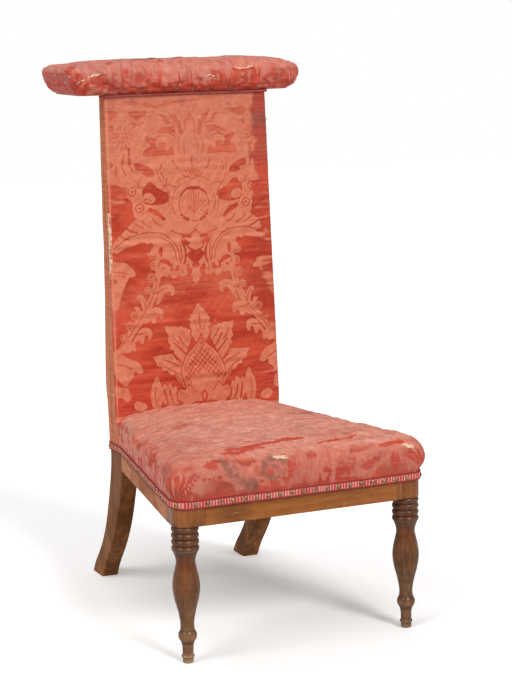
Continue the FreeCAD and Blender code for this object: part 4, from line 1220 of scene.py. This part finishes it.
def back_front():
    levels = np.concatenate([np.linspace(COVER_FOOT, BACK_FOOT, 18, endpoint=False),
                             np.linspace(BACK_FOOT, COVER_TOP, 352)])
    low = rise(levels, 306, 22)
    middle = np.where(levels < BACK_FOOT, lerp(side_middle(BACK_FOOT), side_middle(levels), low),
                      side_middle(levels))
    front = lerp(436.0, front_line(levels) - 6.0, low)
    crown = np.interp(levels, CROWN_HEIGHTS, CROWN) * low
    grid, flat = wrapped_rows(levels, middle, front, crown, 4.0, 12, 190, -1)
    n = normals(grid, 200, 100, (0, -1, 0))
    u, z = flat[..., 0], flat[..., 1]
    folds = spots(u, z)
    inner = half_width(z) - np.abs(u)
    above_seat = rise(z, 330, 20)
    firm = np.where((inner < 8) | (z < 330), 1.0, 0.3)
    grid = grid + settled(grid, False, (5, 4), firm, 0.012, 0.5, 4)
    lift = 0.7 * layered(folds, (160, 55, 1), 31) + 0.3 * creases(folds, (170, 17, 1), 37)
    lift += 0.12 * layered(folds, (90, 6, 1), 41)
    pulled = rise(u, 98, 50) * (0.35 + bump(z, 545, 16) + bump(z, 383, 18) + bump(z, 679, 14)
                                + 0.7 * bump(z, 860, 30) + 0.5 * bump(z, 455, 12))
    pulled = np.maximum(pulled, rise(-u, 122, 30) * (0.2 + 0.9 * bump(z, 519, 9)))
    pulls = pulled * creases(folds, (120, 8, 1), 43)
    lift += 1.9 * pulls - 0.8 * pulled * creases(folds, (90, 9, 1), 45)
    lift *= (z > 330) * (0.25 + 0.75 * rise(inner, -2, 8))
    lift += 0.9 * bump(inner, -2.5, 2.2) * above_seat
    obj = grid_object("back_panel", grid + n * lift[..., None])

    worn = 0.05 + 0.42 * rise(z, 660, 200) + 0.3 * rise(z, 860, 60) + 0.12 * layered(folds, (90, 30, 1), 47)
    # The first term makes the left welt paler: wear on its edge together with a painted highlight.
    worn += 0.5 * bump(inner, 1, 3) * (u < 0) + 0.26 * bump(z, 560, 42)
    figure = np.where(z > 893, 6 * layered(folds, (60, 7, 1), 49) + 2, damask_at(u, z))
    loose = highest(rise(np.abs(u), 116, 14) * rise(z, 686, 12) * (1 - rise(z, 744, 12)),
                    0.85 * rise(u, 130, 12) * rise(z, 470, 30) * (1 - rise(z, 660, 60)),
                    0.75 * rise(u, 112, 12) * rise(z, 575, 15) * (1 - rise(z, 650, 15)))
    figure = lerp(figure, -0.7 + 2.4 * layered(folds, (46, 5, 1), 55), loose)
    # The left welt gets a painted highlight through glint, as do the pull folds at the right edge (pulls).
    welt = bump(inner, 1.5, 1.6) * (u < 0) * above_seat
    # Painted shade down the upper right edge of the back: deep red from about 700 mm up, dark brown higher,
    # darkest near 862 mm.
    edge = rise(u - 122, 8 * noise(folds, (30, 14, 1), 53), 16)
    # The deep red also paints shade in the dip beside the left welt.
    red = highest(0.8 * edge * rise(z, 700, 70), strokes(BACK_STROKES, flat, "red"),
                  0.8 * bump(inner, -3.5, 1.4) * (u < 0), 0.5 * fall(z, 460, 80) * smooth(-figure / 2))
    shade = 0.85 * rise(u - 126, 6 * noise(folds, (12, 20, 1), 54), 10) * bump(z, 862, 28)
    shade = np.maximum(shade, 0.4 * edge * rise(z, 760, 40))
    finish_silk(obj, flat, figure, worn, side=1 - rise(inner, -5, 3), red=np.clip(red, 0, 1),
                tear=strokes(BACK_STROKES, flat, "tear"),
                stain=np.maximum(np.clip(shade, 0, 1), strokes(BACK_STROKES, flat, "stain")),
                glint=np.clip(0.7 * pulls * (u > 0) + 0.8 * welt, 0, 1))
    thicken(obj, 1.2)
    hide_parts("back_front_cover", "back_stuffing", "back_hessian", "back_webbing")
    return obj


def back_rear():
    levels = np.linspace(COVER_FOOT, COVER_TOP, 220)
    rear = rear_line(levels) + np.interp(levels, FULL_HEIGHTS, FULLNESS) + COVER
    start = side_middle(np.maximum(levels, BACK_FOOT)) + 0.6
    grid, flat = wrapped_rows(levels, start, rear, np.full(220, 0.8), 3.0, 8, 112, 1)
    n = normals(grid, 100, 60, (0, 1, 0))
    z = flat[..., 1]
    folds = spots(flat[..., 0], z)
    lift = 0.8 * layered(folds, (120, 80, 1), 51) + 0.6 * creases(folds, (34, 150, 1), 57)
    obj = grid_object("outside_back", grid + n * (lift * rise(z, 290, 30))[..., None])
    finish_silk(obj, flat, np.full(z.shape, -6.0), 0.12 + 0.2 * layered(folds, (60, 120, 1), 59),
                side=np.ones(z.shape))
    thicken(obj, 1.2)
    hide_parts("back_rear_cover", "back_rear_padding")
    return obj


# Arm rest

REST_HALF = 206.5
REST_DEEP = 67.5
REST_MIDDLE = BACK_FRONT + (BACK_TOP - BACK_FOOT) * LEAN - 8 + REST_DEEP
# Height above the board's underside, and how far the outline stands out
REST_ROWS = [(-1.2, -20), (-1.9, -18), (-2.0, -8), (-1.7, 0.3), (0.6, 2.0), (3.9, 7.4), (9.0, 13),
             (16.4, 17.2), (25, 18.8), (33.8, 19), (41.2, 17.6), (46.6, 13.6), (49.6, 6),
             (51.3, -7.2), (53.0, -23.4), (54.2, -41.4)]
# Place along the arm rest and height of each lump in its crown
LUMPS = ((-89, 1.8), (-35, 2.2), (20, 2.2), (121, 2.4))


def rest_outline(spread):
    half, deep = REST_HALF + spread, REST_DEEP + spread
    radius = min(14 + abs(spread) * 0.35, deep - 1)
    cx, cy = half - radius, deep - radius
    corner = arc((cx, cy), radius, math.pi / 2, 0, 13)
    quarter = np.array(half_path([(0, deep), (cx, deep)], (112,))[:-1] + [np.array(c) for c in corner])
    side = np.array(half_path([corner[-1], (half, -cy)], (44,)))[1:-1]
    return mirrored_ring(np.vstack([quarter, side, quarter[::-1] * [1, -1]])) + [0, REST_MIDDLE]


def arm_rest():
    rings = [ring_at(rest_outline(s), BACK_TOP + z) for z, s in curve_through(REST_ROWS, 96)]
    last = rings[-1]
    spine = np.column_stack([last[:, 0] * 0.93, np.full(len(last), REST_MIDDLE), last[:, 2] + 0.4])
    rings += [lerp(last, spine, t) for t in np.linspace(0, 1, 20)[1:-1]]
    grid = np.array(rings)
    n = normals(grid, -8, 0, (0, 0, 1), True)
    x, y, z = np.moveaxis(grid, -1, 0)
    body = grid
    deep = y - REST_MIDDLE
    firm = np.where(z < 922.5, 1.0, 0.1)
    moves = settled(grid, True, (4, 5), firm, 0.05, 1.0, 4)
    grid = grid + moves * (1 - 0.7 * rise(np.abs(x), 170, 40))[..., None]
    lift = 1.3 * noise(body, (62, 50, 60), 61) + 1.2 * noise(body, (26, 34, 40), 67)
    wrinkle = creases(body, (15, 60, 34), 71)
    lift -= 1.6 * wrinkle * fall(z, 974, 14)
    ridge = layered(body, (8, 60, 40), 73) * (0.5 + 0.7 * smooth(noise(body, (40, 60, 60), 74) + 0.5))
    lift += 2.8 * ridge * fall(z, 968, 12) + 1.1 * layered(body, (6, 9, 14), 75)
    for px, size in LUMPS:
        lift += size * bump(x, px, 16) * rise(z, 950, 18)
    ends = rise(np.abs(x), 196, 16)
    left = ends * (x < 0)
    lift += left * (4.5 * bump(z, 960, 10) - 1.5 * bump(z, 934, 10))
    lift -= (ends - left) * (1.5 * bump(z, 944, 12) + 4.5 * bump(z, 966, 10))
    lift += ends * 2.6 * layered(body, (12, 12, 9), 77)
    lift -= 2.4 * creases(body, (13, 17, 15), 88) * rise(-x, 184, 10) * fall(z, 954, 8)
    seen = np.stack([x, z], -1)
    near = y < REST_MIDDLE - 30
    lift -= 2.2 * strokes(REST_STROKES, seen, "dip") * near
    grid = grid + n * (np.clip(lift, -5, 5) * rise(z, 922, 9) * 0.85)[..., None]
    obj = grid_object("arm_rest_pad", grid, True)
    close_slit(obj, grid.shape)

    front = fall(y, REST_MIDDLE - 20, 25)
    low = fall(z, 950, 16)
    worn = 0.4 + 0.45 * rise(z, 953, 14) + 0.45 * layered(body, (22, 40, 16), 79)
    worn += 0.9 * ridge * front - 0.22 * low
    worn -= (0.25 * rise(-x, 140, 30) + 0.3 * left) * (z < 958)
    red = highest(0.9 * wrinkle, rise(-ridge, 0.1, 0.2) * (0.55 + 0.4 * low),
                  0.8 * bump(z, 929, 4 + 4 * noise(body, (24, 60, 60), 81)))
    torn_end = rise(-x, 186, 10) * fall(z, 949, 7)
    red = highest(red * np.maximum(front, ends) * fall(z, 966, 12),
                  torn_end * (0.7 + 0.4 * patches(body, (14, 14, 12), 82, -0.1, 0.2)),
                  0.7 * rise(noise(body, (24, 40, 16), 83), 0.3, 0.3) * front,
                  strokes(REST_STROKES, seen, "red") * near)
    figure = 5 * layered(body, (26, 60, 18), 85) + 2 * rise(z, 955, 10)
    torn = ends * patches(body, (10, 10, 6), 87, 0.42, 0.1) * (z > 938)
    # Patchy painted shade on the lower front of the arm rest.
    stain = 0.5 * patches(body, (10, 16, 7), 86, 0.2, 0.2) * front * low
    flat = np.stack([deep + np.sign(deep) * np.maximum(0, 962 - z), x], -1)
    finish_silk(obj, flat, figure, worn, red=np.clip(red, 0, 1) * rise(z, 918.5, 3),
                tear=np.maximum(torn, strokes(REST_STROKES, seen, "tear") * near),
                stain=np.maximum(strokes(REST_STROKES, seen, "stain") * near, stain),
                glint=strokes(REST_STROKES, seen, "glint") * near)
    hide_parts("arm_rest_cover", "arm_rest_stuffing")
    return obj


def close_slit(obj, shape):
    """Joins the narrow slit that is left along the crown."""
    rows, columns = shape[:2]
    start = (rows - 1) * columns
    with edited(obj) as mesh:
        mesh.verts.ensure_lookup_table()
        for c in range(columns // 2):
            ring = dict.fromkeys([c, c + 1, (columns - c - 1) % columns, (columns - c) % columns])
            if len(ring) > 2:
                mesh.faces.new([mesh.verts[start + v] for v in ring]).smooth = True
        bmesh.ops.recalc_face_normals(mesh, faces=mesh.faces)


def underside_cloth():
    """Plain cloth tacked under the board, inside the turned edge of the cover and behind the back."""
    half, deep = REST_HALF - 18.5, REST_DEEP - 18.5
    xs = np.linspace(-half, half, 96)
    ys = REST_MIDDLE + np.linspace(-deep, deep, 30)
    grid = np.array([[(x, y, 919.2) for x in xs] for y in ys])
    grid[..., 2] -= 0.5 * (1 + layered(grid, (60, 40, 1), 97)) + 0.6 * creases(grid, (50, 18, 1), 99)
    points = grid.reshape(-1, 3)
    beside_head = (np.abs(points[:, 0]) < 158.5), (points[:, 1] < REST_MIDDLE - 34.5)
    faces = [face for face in grid_faces(30, 96)
             if not (beside_head[0][list(face)].any() and beside_head[1][list(face)].any())]
    obj = mesh_object("underside_cloth", points, faces)
    with edited(obj) as mesh:
        bare = [v for v in mesh.verts if not v.link_faces]
        bmesh.ops.delete(mesh, geom=bare, context="VERTS")
    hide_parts("arm_rest_underside")
    return obj


# Braid, nails and cord

BAR_PITCH = 5.2
# Distance from the braid's middle line, and how far the braid stands out
BRAID_HALF = [(0, 2.8), (1.2, 2.8), (2.6, 2.8), (4, 2.8), (5, 2.8), (5.5, 3.0), (6, 3.5), (6.6, 3.7),
              (7.2, 3.3), (7.5, 2.6), (7.3, 1.9)]


def frame_path(spacing):
    """Even points round the seat frame and rear legs in plan, their outward ways and their places."""
    knee = (FRONT_HALF - REAR_HALF) / SLOPE
    ring = mirrored_ring([(0, REAR_FACE), (REAR_HALF - 2, REAR_FACE), (REAR_HALF - 0.6, REAR_FACE - 0.6),
                          (REAR_HALF, REAR_FACE - 2), (REAR_HALF, knee),
                          *arc(CORNER, RING_RADIUS, SIDE_ANGLE, -math.pi / 2, 25), (0, 0)])
    closed = np.vstack([ring, ring[:1]])
    run = lengths(closed)
    places = np.linspace(0, run[-1], int(run[-1] / spacing), endpoint=False)
    path = sampled(closed, run, places)
    return path, outward_ways(path, 2), places


def gimp():
    """Woven braid: raised bars between two twisted edges."""
    path, way, run = frame_path(0.75)
    right = np.array(BRAID_HALF)
    profile = np.vstack([right[:0:-1] * [-1, 1], right])
    s, v = np.meshgrid(run, profile[:, 0])
    spot = spots(s, v)
    slant = 0.5 * np.sin(s * 2 * math.pi / BAR_PITCH / 2) * np.abs(v) / 4
    beat = 0.25 * np.cos(s * math.pi / BAR_PITCH) + 0.5 * noise(spot, (7, 12, 1), 102)
    turn = (s + slant + 0.9 * noise(spot, (20, 8, 1), 101)) * 2 * math.pi / BAR_PITCH
    bars = smooth(0.5 + beat + 0.75 * np.cos(turn)) * (1 - rise(np.abs(v), 4.2, 1.1))
    edge = rise(np.abs(v), 5.2, 0.5)
    out = profile[:, 1:] + 1.1 * bars + 0.22 * edge * np.cos((s / 2.3 + v * 0.35) * 2 * math.pi)
    out += 0.15 * noise(spot, (3, 3, 1), 103)
    drift = 0.5 * noise(spot * [1, 0, 0], (70, 1, 1), 107)
    plan = path + way * out[..., None]
    obj = grid_object("gimp_braid", np.dstack([plan, BRAID_MIDDLE + v + drift]), True)
    store_place(obj, np.stack([s, v], -1))
    store(obj, "bar", bars)
    store(obj, "edge", edge)
    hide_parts("seat_gimp")
    return obj


def along_run(start, end, way):
    """Evenly spaced nails along a straight edge: place and outward way."""
    count = max(1, round(np.linalg.norm(end - start) / 21.5))
    return [(lerp(start, end, (k + 0.5) / count), np.array(way)) for k in range(count)]


def nails():
    """Domed brass nails, each a little dented and askew."""
    grow = 3.6
    radius = RING_RADIUS + grow
    outward_side = np.array([math.cos(SIDE_ANGLE), math.sin(SIDE_ANGLE)])
    diagonal = outward_side - [0, 1]
    diagonal /= np.linalg.norm(diagonal)
    nose, side = CORNER - [0, radius], CORNER + outward_side * radius
    meet = (FRONT_HALF + grow / math.cos(SIDE_ANGLE) - REAR_HALF - grow) / SLOPE
    knee, corner = np.array([REAR_HALF + grow, meet]), np.array([REAR_HALF + grow, REAR_FACE + grow])
    places = [(CORNER + diagonal * radius, diagonal)]
    places += along_run(side, knee, outward_side) + along_run(knee, corner, (1.0, 0))
    places += [(p * [-1, 1], w * [-1, 1]) for p, w in places]
    places += along_run(nose * [-1, 1], nose, (0, -1.0)) + along_run(corner * [-1, 1], corner, (0, 1.0))
    random = np.random.default_rng(5)
    turn = np.arange(16) * math.pi / 8
    parts = []
    for place, way in places:
        tilt = random.normal(0, 0.06, 2)
        shift = random.normal(0, 0.35, 2)
        dent = random.uniform(0, 2 * math.pi)
        side_way = np.array([-way[1], way[0], 0])
        out_way = np.array([way[0], way[1], 0])
        rings = []
        for angle in np.linspace(0, 1, 6) * math.pi / 2:
            r = 4.0 * math.cos(angle) ** 0.9 * (1 + 0.03 * np.cos(2 * turn + dent))
            a, b = r * np.cos(turn), r * np.sin(turn)
            h = 2.5 * math.sin(angle) + a * tilt[0] + b * tilt[1]
            rings.append(np.array([*place, BRAID_MIDDLE]) + side_way * (a + shift[0])[:, None]
                         + out_way * h[:, None] + np.array([0, 0, 1]) * (b + shift[1])[:, None])
        parts.append((np.vstack(rings), capped_faces(6, 16)[:-1]))
    obj = joined("domed_nails", parts)
    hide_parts("gimp_nails")
    return obj


def twisted(name, path, radius, pitch):
    """Rope of two round strands laid round a path."""
    run = lengths(path)
    places = np.arange(0, run[-1], 0.7)
    fine = sampled(path, run, places)
    along = unit(np.gradient(fine, axis=0))
    side = unit(np.cross(along, [0, 0, 1.0]))
    up = np.cross(side, along)
    parts = []
    for start in (0, math.pi):
        turn = (places * 2 * math.pi / pitch + start)[:, None]
        strand = fine + (side * np.cos(turn) + up * np.sin(turn)) * radius * 0.46
        parts.append(tube(strand, radius * 0.56, 8))
    return joined(name, parts)


def head_cord():
    """Cord in the angle between the back and the arm rest."""
    half, front, z = 160.9, 472.7, 915.9
    bend = [(half - 5 + 5 * math.sin(t), front + 5 - 5 * math.cos(t), z)
            for t in np.linspace(0, math.pi / 2, 6)]
    right = bend + [(half, 492.3, z)]
    path = np.array([(-px, py, pz) for px, py, pz in reversed(right)] + right)
    straight = lerp(path[6], path[7], np.linspace(0, 1, 60)[:, None])
    path = np.vstack([curve_through(path[:2], 20)[:-1], path[1:6], straight, path[8:13],
                      curve_through(path[12:], 20)[1:]])
    path[:, 2] += 0.7 * noise(path, (60, 60, 60), 109)
    obj = twisted("head_cord", path, 2.6, 9.0)
    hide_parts("arm_rest_piping")
    return obj


# Front legs


def bead_rows(radius, inner, low, high, steps=10):
    """Radius and height along a round bead between two heights."""
    rise_of_arc, chord = radius - inner, high - low
    round_radius = (chord * chord / 4 + rise_of_arc * rise_of_arc) / (2 * rise_of_arc)
    reach = math.asin(chord / 2 / round_radius)
    return arc((radius - round_radius, (low + high) / 2), round_radius, -reach, reach, steps)


def leg_rows():
    """Radius and height along a turned leg, from the castor peg to the head."""
    vase = [(12.3, 56)]
    vase += [(23 * r, 56 + 135 * h) for r, h in
             zip((0.5, 0.525, 0.66, 0.885, 1, 0.93, 0.8, 0.7, 0.77),
                 (0.06, 0.13, 0.25, 0.4, 0.55, 0.68, 0.78, 0.87, 0.94))]
    rows = [(8.2, 0.2), (9.1, 1.2), (9.1, 8.6), (10.2, 9.2)] + bead_rows(11.2, 9.6, 9.4, 13.8, 6)
    rows += [(9.2, 14.4), (9.25, 18), (9.35, 24), (9.73, 30), (10.9, 35), (12.1, 37.6)]
    rows += bead_rows(15.7, 12.3, 38, 56)
    rows += [tuple(p) for p in curve_through(vase + [(20.8, 191)], 60)[1:]]
    for k in range(4):
        rows += bead_rows(RING_RADIUS, 20.6, 191 + 11 * k + 0.3, 202 + 11 * k - 0.3, 9)
    return rows + [(20.8, 236)]


def front_leg(side, name):
    cx, cy = CORNER
    rows = leg_rows()
    turn = np.arange(64) * math.pi / 32
    flat = np.array([(side * (cx + r * math.cos(t)), cy + r * math.sin(t), z)
                     for r, z in rows for t in turn])
    wear = 0.12 * noise(flat, 14, 113 + side)[:, None]
    flat = flat + (flat - np.array([side * cx, cy, 0])) * [1, 1, 0] / 20 * wear
    head_in = FRONT_HALF - HEAD_SIZE
    rings = []
    for z, inward in ((235, 1.1), (235.4, 0.4), (236.4, 0), (295.8, 0), (297, 1)):
        wall = FRONT_HALF - HEAD_SIZE * SLOPE - inward
        inner, rear = head_in + inward, HEAD_SIZE - inward
        outline = [(inner + 0.5, inward), *arc(CORNER, RING_RADIUS - inward, -math.pi / 2, SIDE_ANGLE, 14),
                   (wall, rear - 0.6), (wall - 0.6, rear), (inner + 0.6, rear), (inner, rear - 0.6),
                   (inner, inward + 0.5)]
        rings += [(side * px, py, z) for px, py in outline]
    obj = joined("turned_" + name, [(flat, capped_faces(len(rows), 64)),
                                    (np.array(rings, float), capped_faces(5, len(outline)))])
    obj.data.set_sharp_from_angle(angle=math.radians(38))
    radii, heights = np.array(rows).T
    around = np.array([radii[np.abs(heights - z) < 5].max() for z in heights])
    sunk = rise(around - radii, 0.9, 2.4) * (np.abs(heights - 120) > 62)
    store(obj, "hollow", np.concatenate([np.repeat(sunk, 64), np.zeros(len(rings))]))
    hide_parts(name)
    return obj


# Webbing and hessian under the seat

WEB_WIDTH = 49.97
RAIL_TOP = 297.0
WEB_END = 6.0


def strip(name, start, end, crossings, high_first):
    """Strip of webbing that goes over and under those it crosses."""
    start, end = np.array(start, float), np.array(end, float)
    length = np.linalg.norm(end - start)
    run = np.linspace(0, length, 150)
    level = np.zeros(150)
    for k, place in enumerate(crossings):
        if (k % 2 == 0) == high_first:
            level = np.maximum(level, 1.3 * (1 - rise(np.abs(run - place), 24, 12)))
    way = (end - start) / length
    side = np.array([-way[1], way[0]])
    s, v = np.meshgrid(run, np.linspace(-WEB_WIDTH / 2, WEB_WIDTH / 2, 17))
    spot = spots(s + 777 * start[0], v)
    v2 = v * (1 - 0.012 * np.abs(noise(spot, (60, 60, 1), 121))) + 0.25 * noise(spot, (9, 30, 1), 122)
    z = RAIL_TOP + 1.25 + level[None] - 0.9 * np.sin(np.pi * s / length) + 0.12 * np.cos(v * 1.9)
    plan = start + way * s[..., None] + side * v2[..., None]
    obj = grid_object(name, np.dstack([plan, z]))
    store_place(obj, np.stack([s, v], -1))
    thicken(obj, 1.0)
    return obj


def seat_webbing():
    strips = []
    first, last = WEB_END, REAR_FACE - WEB_END
    fronts = [share * (FRONT_HALF - HEAD_SIZE) for share in (-0.66, -0.22, 0.22, 0.66)]
    rears = [share * 131.5 for share in (-0.62, -0.205, 0.205, 0.62)]
    levels = [share * SEAT_DEPTH for share in (0.2, 0.42, 0.64, 0.86)]
    for k, (a, b) in enumerate(zip(fronts, rears)):
        stretch = math.hypot(b - a, last - first) / (last - first)
        strips.append(strip(f"seat_web_long_{k + 1}", (a, first), (b, last),
                            [(y - first) * stretch for y in levels], k % 2 == 0))
    for k, y in enumerate(levels):
        half = FRONT_HALF - (y + WEB_WIDTH / 2) * SLOPE - WEB_END
        places = [half + a + (b - a) * (y - first) / (last - first) for a, b in zip(fronts, rears)]
        strips.append(strip(f"seat_web_cross_{k + 1}", (-half, y), (half, y), places, k % 2 == 1))
    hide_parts("seat_webbing")
    return strips


def seat_hessian():
    rows = []
    for y in np.linspace(5, 433, 110):
        half = FRONT_HALF - y * SLOPE - 5
        if y < RING_RADIUS:
            half = min(half, 204.85 + math.sqrt(18.2 ** 2 - (RING_RADIUS - y) ** 2) - 0.4)
        rows.append([(x, y, 299.9) for x in np.linspace(-half, half, 100)])
    grid = np.array(rows)
    grid[..., 2] += 0.25 * noise(grid, (50, 50, 1), 131) - 0.25
    obj = grid_object("seat_hessian_cloth", grid)
    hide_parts("seat_hessian")
    return obj


# Loose threads


def frayed(origins):
    """Broken silk and linen threads that stand out of torn places."""
    random = np.random.default_rng(73)
    parts = []
    for place, way, count, spread in origins:
        for _ in range(count):
            start = np.array(place, float) + random.normal(0, spread, 3) * [1, 1, 0.6]
            head = np.array(way, float) + random.normal(0, 0.55, 3)
            head /= np.linalg.norm(head)
            bend = random.normal(0, 0.35, 3)
            size = 6.5 * random.uniform(0.4, 1.2)
            path = np.array([start + head * size * t + bend * size * t * t for t in np.linspace(0, 1, 7)])
            parts.append(tube(path, 0.3 * np.linspace(1, 0.5, 7), 5))
    return joined("loose_threads", parts)


def loose_threads():
    """Threads at the ends of the arm rest, both sides of the back and the seat's right side and corners."""
    random = np.random.default_rng(71)
    out = []
    for x, way in ((-225, -1), (221, 1)):
        for _ in range(26):
            y, z = random.uniform(REST_MIDDLE - 80, REST_MIDDLE + 40), random.uniform(934, 968)
            place = (x - way * random.uniform(0, 6), y, z)
            out.append((place, (way * 0.8, -0.5, random.uniform(-0.5, 0.8)), 1, 2))
    for z in (860, 845, 832, 679, 612, 548, 543, 537, 384, 379, 372, 455):
        place = (half_width(z) - 2, front_line(z) - 7, z)
        out.append((place, (0.8, -0.6, random.uniform(-0.4, 0.3)), 3, 1.5))
    for z in (705, 690, 672, 655, 640, 622, 604, 371, 590):
        out.append(((-half_width(z) - 1, front_line(z) + 2, z), (-0.8, -0.5, 0), 3, 2))
    for _ in range(26):
        y, z = random.uniform(0, 120), random.uniform(300, 338)
        out.append(((236 - y * SLOPE, y, z), (0.7, -0.3, 0.6), 1, 2.0))
    for side in (-1, 1):
        out.append(((side * 221, 2, 300), (side * 0.6, -0.7, 0.3), 8, 5))
    return frayed(out)


# Making and dressing the chair

make_camera()
make_stage()

seat = seat_cushion()
panel = back_front()
outside = back_rear()
rest = arm_rest()

seat_silk = silk("silk_seat", ((0.42, 0.055, 0.028), (0.6, 0.1, 0.05), (0.68, 0.19, 0.115)),
                 ((0.58, 0.15, 0.1), (0.66, 0.23, 0.155)), ((0.6, 0.215, 0.155), (0.72, 0.355, 0.262)),
                 streaky=0.5, weft_stretch=(4.5, 0.35, 1))
back_silk = silk("silk_back", ((0.42, 0.038, 0.018), (0.58, 0.075, 0.033), (0.7, 0.16, 0.08)),
                 ((0.58, 0.155, 0.085), (0.7, 0.225, 0.13)), ((0.57, 0.165, 0.097), (0.67, 0.22, 0.138)),
                 side=((0.46, 0.11, 0.04), (0.66, 0.22, 0.085)))
rest_silk = silk("silk_rest", ((0.42, 0.06, 0.036), (0.54, 0.09, 0.055), (0.64, 0.16, 0.105)),
                 ((0.54, 0.125, 0.085), (0.64, 0.19, 0.13)), ((0.57, 0.175, 0.125), (0.65, 0.255, 0.19)))
for piece, material in ((seat, seat_silk), (panel, back_silk), (outside, back_silk), (rest, rest_silk)):
    dress(piece, material)

PEG = (0.02, 0.008, (0.24, 0.12, 0.06), (0.46, 0.28, 0.17))
SHAFT = (0.053, 0.046, (0.13, 0.052, 0.024), (0.28, 0.13, 0.062))
LOWER_VASE = (0.125, 0.105, (0.1, 0.042, 0.015), (0.2, 0.09, 0.034))
SHOULDER = (0.15, 0.165, (0.07, 0.019, 0.006), (0.19, 0.056, 0.018))
NECK = (0.182, 0.186, (0.115, 0.058, 0.028), (0.19, 0.105, 0.054))
RINGS = (0.191, 0.193, (0.055, 0.018, 0.007), (0.18, 0.068, 0.026))
HEAD = (0.232, 0.237, (0.2, 0.062, 0.013), (0.36, 0.115, 0.026))
REAR_FOOT = (0.13, 0.01, (0.2, 0.073, 0.026), (0.47, 0.2, 0.07))
leg_wood = wood("leg_wood", (0.08, 0.026, 0.008), (0.2, 0.072, 0.022), 2, gloss=0.3, mirror=0.26, blotch=0.5,
                tones=(LOWER_VASE, SHAFT, PEG, SHOULDER, NECK, RINGS, HEAD))
rear_wood = wood("rear_leg_wood", (0.13, 0.042, 0.012), (0.31, 0.115, 0.034), 2, gloss=0.45, mirror=0.06,
                 blotch=0.3, tones=(REAR_FOOT,))
rail_wood = wood("rail_wood", (0.24, 0.074, 0.018), (0.38, 0.13, 0.034), 0, mirror=0.12, blotch=0.25)
side_wood = wood("side_rail_wood", (0.39, 0.125, 0.052), (0.66, 0.24, 0.096), 1, gloss=0.5, mirror=0.08)
inner_wood = wood("inner_wood", (0.38, 0.22, 0.11), (0.6, 0.42, 0.25), 1, gloss=0.7)
jute = cloth("jute", (0.3, 0.2, 0.1), (0.55, 0.42, 0.26))
lining = cloth("lining", (0.42, 0.13, 0.08), (0.58, 0.22, 0.15), weave=1400.0)
iron = metal("iron", (0.3, 0.28, 0.26), (0.12, 0.08, 0.06))
brass = metal("brass", (0.55, 0.38, 0.18), (0.13, 0.08, 0.04))
braid_silk = braid("gimp_silk", (0.44, 0.035, 0.035), (0.76, 0.27, 0.22), (0.26, 0.02, 0.018))
thread_silk = cloth("thread_silk", (0.5, 0.12, 0.08), (0.8, 0.5, 0.36), weave=200.0)
cord_silk = cloth("cord_silk", (0.32, 0.03, 0.025), (0.62, 0.14, 0.11), weave=1800.0)

dress(gimp(), braid_silk)
dress(nails(), brass)
dress(head_cord(), cord_silk)
dress(loose_threads(), thread_silk)
dress(underside_cloth(), lining)
dress(seat_hessian(), jute)
for web in seat_webbing():
    dress(web, jute)
dress(front_leg(1, "front_leg_right"), leg_wood)
dress(front_leg(-1, "front_leg_left"), leg_wood)

NODE_MATERIALS = {
    "rear_leg": rear_wood, "front_seat_rail": rail_wood, "side_seat_rail": side_wood,
    "rear_seat_rail": rail_wood, "back_bottom_rail": inner_wood, "back_top_rail": inner_wood,
    "front_corner_block": inner_wood, "rear_corner_block": inner_wood, "corner_block_screws": iron,
    "arm_rest_board": inner_wood, "arm_rest_wedges": inner_wood, "arm_rest_screws": iron,
}
for name, obj in frame["nodes"].items():
    base = name.replace("_left", "").replace("_right", "")
    if base in NODE_MATERIALS:
        dress(obj, NODE_MATERIALS[base])
